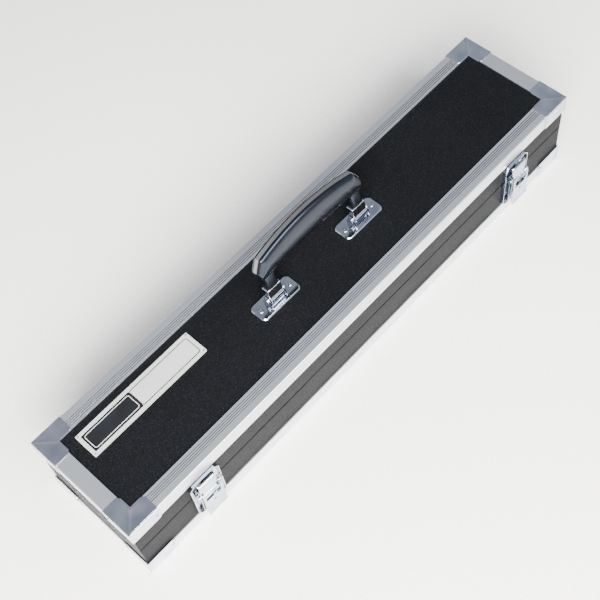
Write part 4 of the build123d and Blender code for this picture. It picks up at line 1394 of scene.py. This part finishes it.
@dataclass
class LatchesAndHinges:
    """The pressed draw latches at the front and the butt hinges at the back.

    Each claw has a smooth hood over its window, so that from the front it is one bright plate
    between the two rivets of the keeper. The hood's side is drawn as heights with distances
    in front of the panel. Its lower end stays low, because the lever's slot passes over it
    when the latch opens."""

    finishes: Finishes
    edge: float = 0.16
    panel: float = 52.0
    hood_halves: tuple[float, float] = (6.8, 8.3)
    hood_flare: tuple[float, float] = (51.8, 54.4)
    hood_side: tuple[tuple[float, float], ...] = (
        (44.2, 5.0), (46.0, 5.1), (48.2, 5.15), (48.9, 5.5), (49.7, 6.5), (50.3, 7.1), (51.0, 7.35),
        (52.0, 7.4), (53.2, 7.3), (54.4, 7.2), (57.0, 7.05), (60.0, 6.9), (62.2, 6.8), (63.3, 6.6),
        (63.9, 6.2), (64.2, 5.4))
    hood_turn: float = 1.1
    hood_sheet: float = 0.6
    hood_columns: int = 24

    def hood(self, side: str, centre: float) -> None:
        """The claw's pressed hood: a plate that swells forward and turns back at its edges.

        Args:
            side: left or right.
            centre: the latch's X.
        """
        work = bmesh.new()
        rows = []
        low, high = self.hood_flare
        for z, out in self.hood_side:
            part = min(1.0, max(0.0, (z - low) / (high - low)))
            wider = (self.hood_halves[1] - self.hood_halves[0]) * part * part * (3 - 2 * part)
            half = self.hood_halves[0] + wider
            row = []
            for i in range(self.hood_columns + 1):
                s = math.sin((i / self.hood_columns - 0.5) * math.pi)
                y = -(self.panel + out - self.hood_turn * abs(s) ** 10)
                row.append(work.verts.new(((centre + s * half) * MM, y * MM, z * MM)))
            rows.append(row)
        for lower, upper in zip(rows, rows[1:]):
            for a, b, c, d in zip(lower, lower[1:], upper[1:], upper):
                work.faces.new((a, b, c, d))
        shade(work, 50)
        name = f"{side}_claw_hood"
        piece = link(finish_mesh(work, name), name, self.finishes.chrome)
        wall = piece.modifiers.new("sheet", "SOLIDIFY")
        wall.thickness = self.hood_sheet * MM
        wall.offset = -1.0
        applied(piece)
        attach(piece, f"latch_{side}_claw")

    def build(self) -> None:
        """Break every sheet edge and plate the parts."""
        chrome = self.finishes.chrome
        for side in ("left", "right"):
            for node, body in (("base_plate", "base"), ("keeper", "lid"),
                               ("lever", f"latch_{side}_lever"), ("claw", f"latch_{side}_claw")):
                piece = softened(f"latch_{side}_{node}", f"{side}_latch_{node}", body, chrome,
                                 self.edge)
            low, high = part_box(f"latch_{side}_claw")
            self.hood(side, (low[0] + high[0]) / 2 / MM)
            pin = softened(f"latch_{side}_claw_pin", f"{side}_claw_cross_pin", f"latch_{side}_lever",
                           chrome, 0.1)
            for leaf, body in (("base_leaf", "base"), ("lid_leaf", "lid")):
                piece = softened(f"hinge_{side}_{leaf}", f"{side}_hinge_{leaf}", body,
                                 self.finishes.hinge, self.edge)
        pivots = softened("latch_pivot_pins", "lever_pivot_pins", "base", chrome, 0.14)
        rods = softened("hinge_pins", "hinge_rods", "base", self.finishes.hinge, 0.12)
        LOG.info("latches and hinges built")


@dataclass(frozen=True)
class SoftBox:
    """One large soft light."""

    name: str
    place: tuple[float, float, float]
    aim: tuple[float, float, float]
    size: tuple[float, float]
    power: float
    colour: str = "ffffff"

    def build(self) -> None:
        """Hang the light."""
        data = bpy.data.lights.new(self.name, "AREA")
        data.shape = "RECTANGLE"
        data.size, data.size_y = self.size
        data.energy = self.power
        data.color = linear(self.colour)[:3]
        lamp = bpy.data.objects.new(self.name, data)
        lamp.location = self.place
        way = Vector(self.aim) - Vector(self.place)
        lamp.rotation_euler = way.to_track_quat("-Z", "Y").to_euler()
        bpy.context.scene.collection.objects.link(lamp)


@dataclass(frozen=True)
class Studio:
    """The plain pale floor, the lights and the camera at the photograph's viewing angle."""

    eye: tuple[float, float, float] = (-0.31067, -0.35756, 0.82955)
    look: tuple[float, float, float] = (0.3175637, 0.3946494, -0.8622094)
    roll: float = -9.596546
    lens: float = 68.348
    floor_half: float = 3.0
    sky_front: float = 1.4
    sky_back: float = 0.68
    lights: tuple[SoftBox, ...] = (
        SoftBox("window", (0.08, -1.10, 1.05), (-0.12, -0.15, 0.0), (0.8, 0.6), 42.0, "fffdfa"),
        SoftBox("window_near", (-0.80, -0.85, 0.90), (-0.25, -0.25, 0.0), (1.0, 0.8), 150.0,
                "fffdfa"),
        SoftBox("far_fill", (-0.9, 1.3, 1.0), (0.0, 0.0, 0.0), (1.6, 1.0), 5.0, "f6f8ff"),
    )

    def floor(self) -> None:
        """Lay the floor."""
        work = bmesh.new()
        half = self.floor_half
        work.faces.new([work.verts.new(c) for c in ((-half, -half, 0), (half, -half, 0),
                                                    (half, half, 0), (-half, half, 0))])
        sheet = link(finish_mesh(work, "floor"), "floor", PaintedFloor().build())

    def camera(self) -> None:
        """Set the camera."""
        data = bpy.data.cameras.new("camera")
        data.lens = self.lens
        data.sensor_width = 36.0
        data.sensor_fit = "HORIZONTAL"
        data.clip_start = 0.01
        camera = bpy.data.objects.new("camera", data)
        look = Vector(self.look).normalized()
        level = look.cross(Vector((0, 0, 1))).normalized()
        up = level.cross(look)
        turn = Matrix.Rotation(math.radians(self.roll), 3, -look)
        right, up = turn @ level, turn @ up
        basis = Matrix((right, up, -look)).transposed()
        camera.matrix_world = Matrix.Translation(self.eye) @ basis.to_4x4()
        bpy.context.scene.collection.objects.link(camera)
        bpy.context.scene.camera = camera

    def sky(self) -> None:
        """Fill the room with slightly blue light, brighter towards the windows in front."""
        world = bpy.data.worlds.new("room")
        bpy.context.scene.world = world
        world.use_nodes = True
        tree = world.node_tree
        way = add_node(tree, "ShaderNodeTexCoord")
        apart = add_node(tree, "ShaderNodeSeparateXYZ", inputs={0: way.outputs["Generated"]})
        front = add_node(tree, "ShaderNodeMapRange", inputs={0: apart.outputs[1], 1: -0.8, 2: 0.5,
                                                             3: self.sky_front, 4: self.sky_back})
        back = tree.nodes["Background"]
        back.inputs["Color"].default_value = linear("d3d8e4")
        tree.links.new(front.outputs[0], back.inputs["Strength"])

    def build(self) -> None:
        """Set up the studio."""
        self.floor()
        self.sky()
        self.camera()
        for light in self.lights:
            light.build()
        LOG.info("studio ready")


def main() -> None:
    """Build the case in order."""
    logging.basicConfig(level=logging.INFO, format="%(relativeCreated)7.0f ms  %(message)s")
    Studio().build()
    finishes = Finishes()
    Shell(finishes).build()
    CornerCaps(finishes).build()
    Fasteners(finishes).build()
    NamePlate(finishes).build()
    Handle(finishes).build()
    LatchesAndHinges(finishes).build()
    LOG.info("case built")


if __name__ == "__main__":
    main()
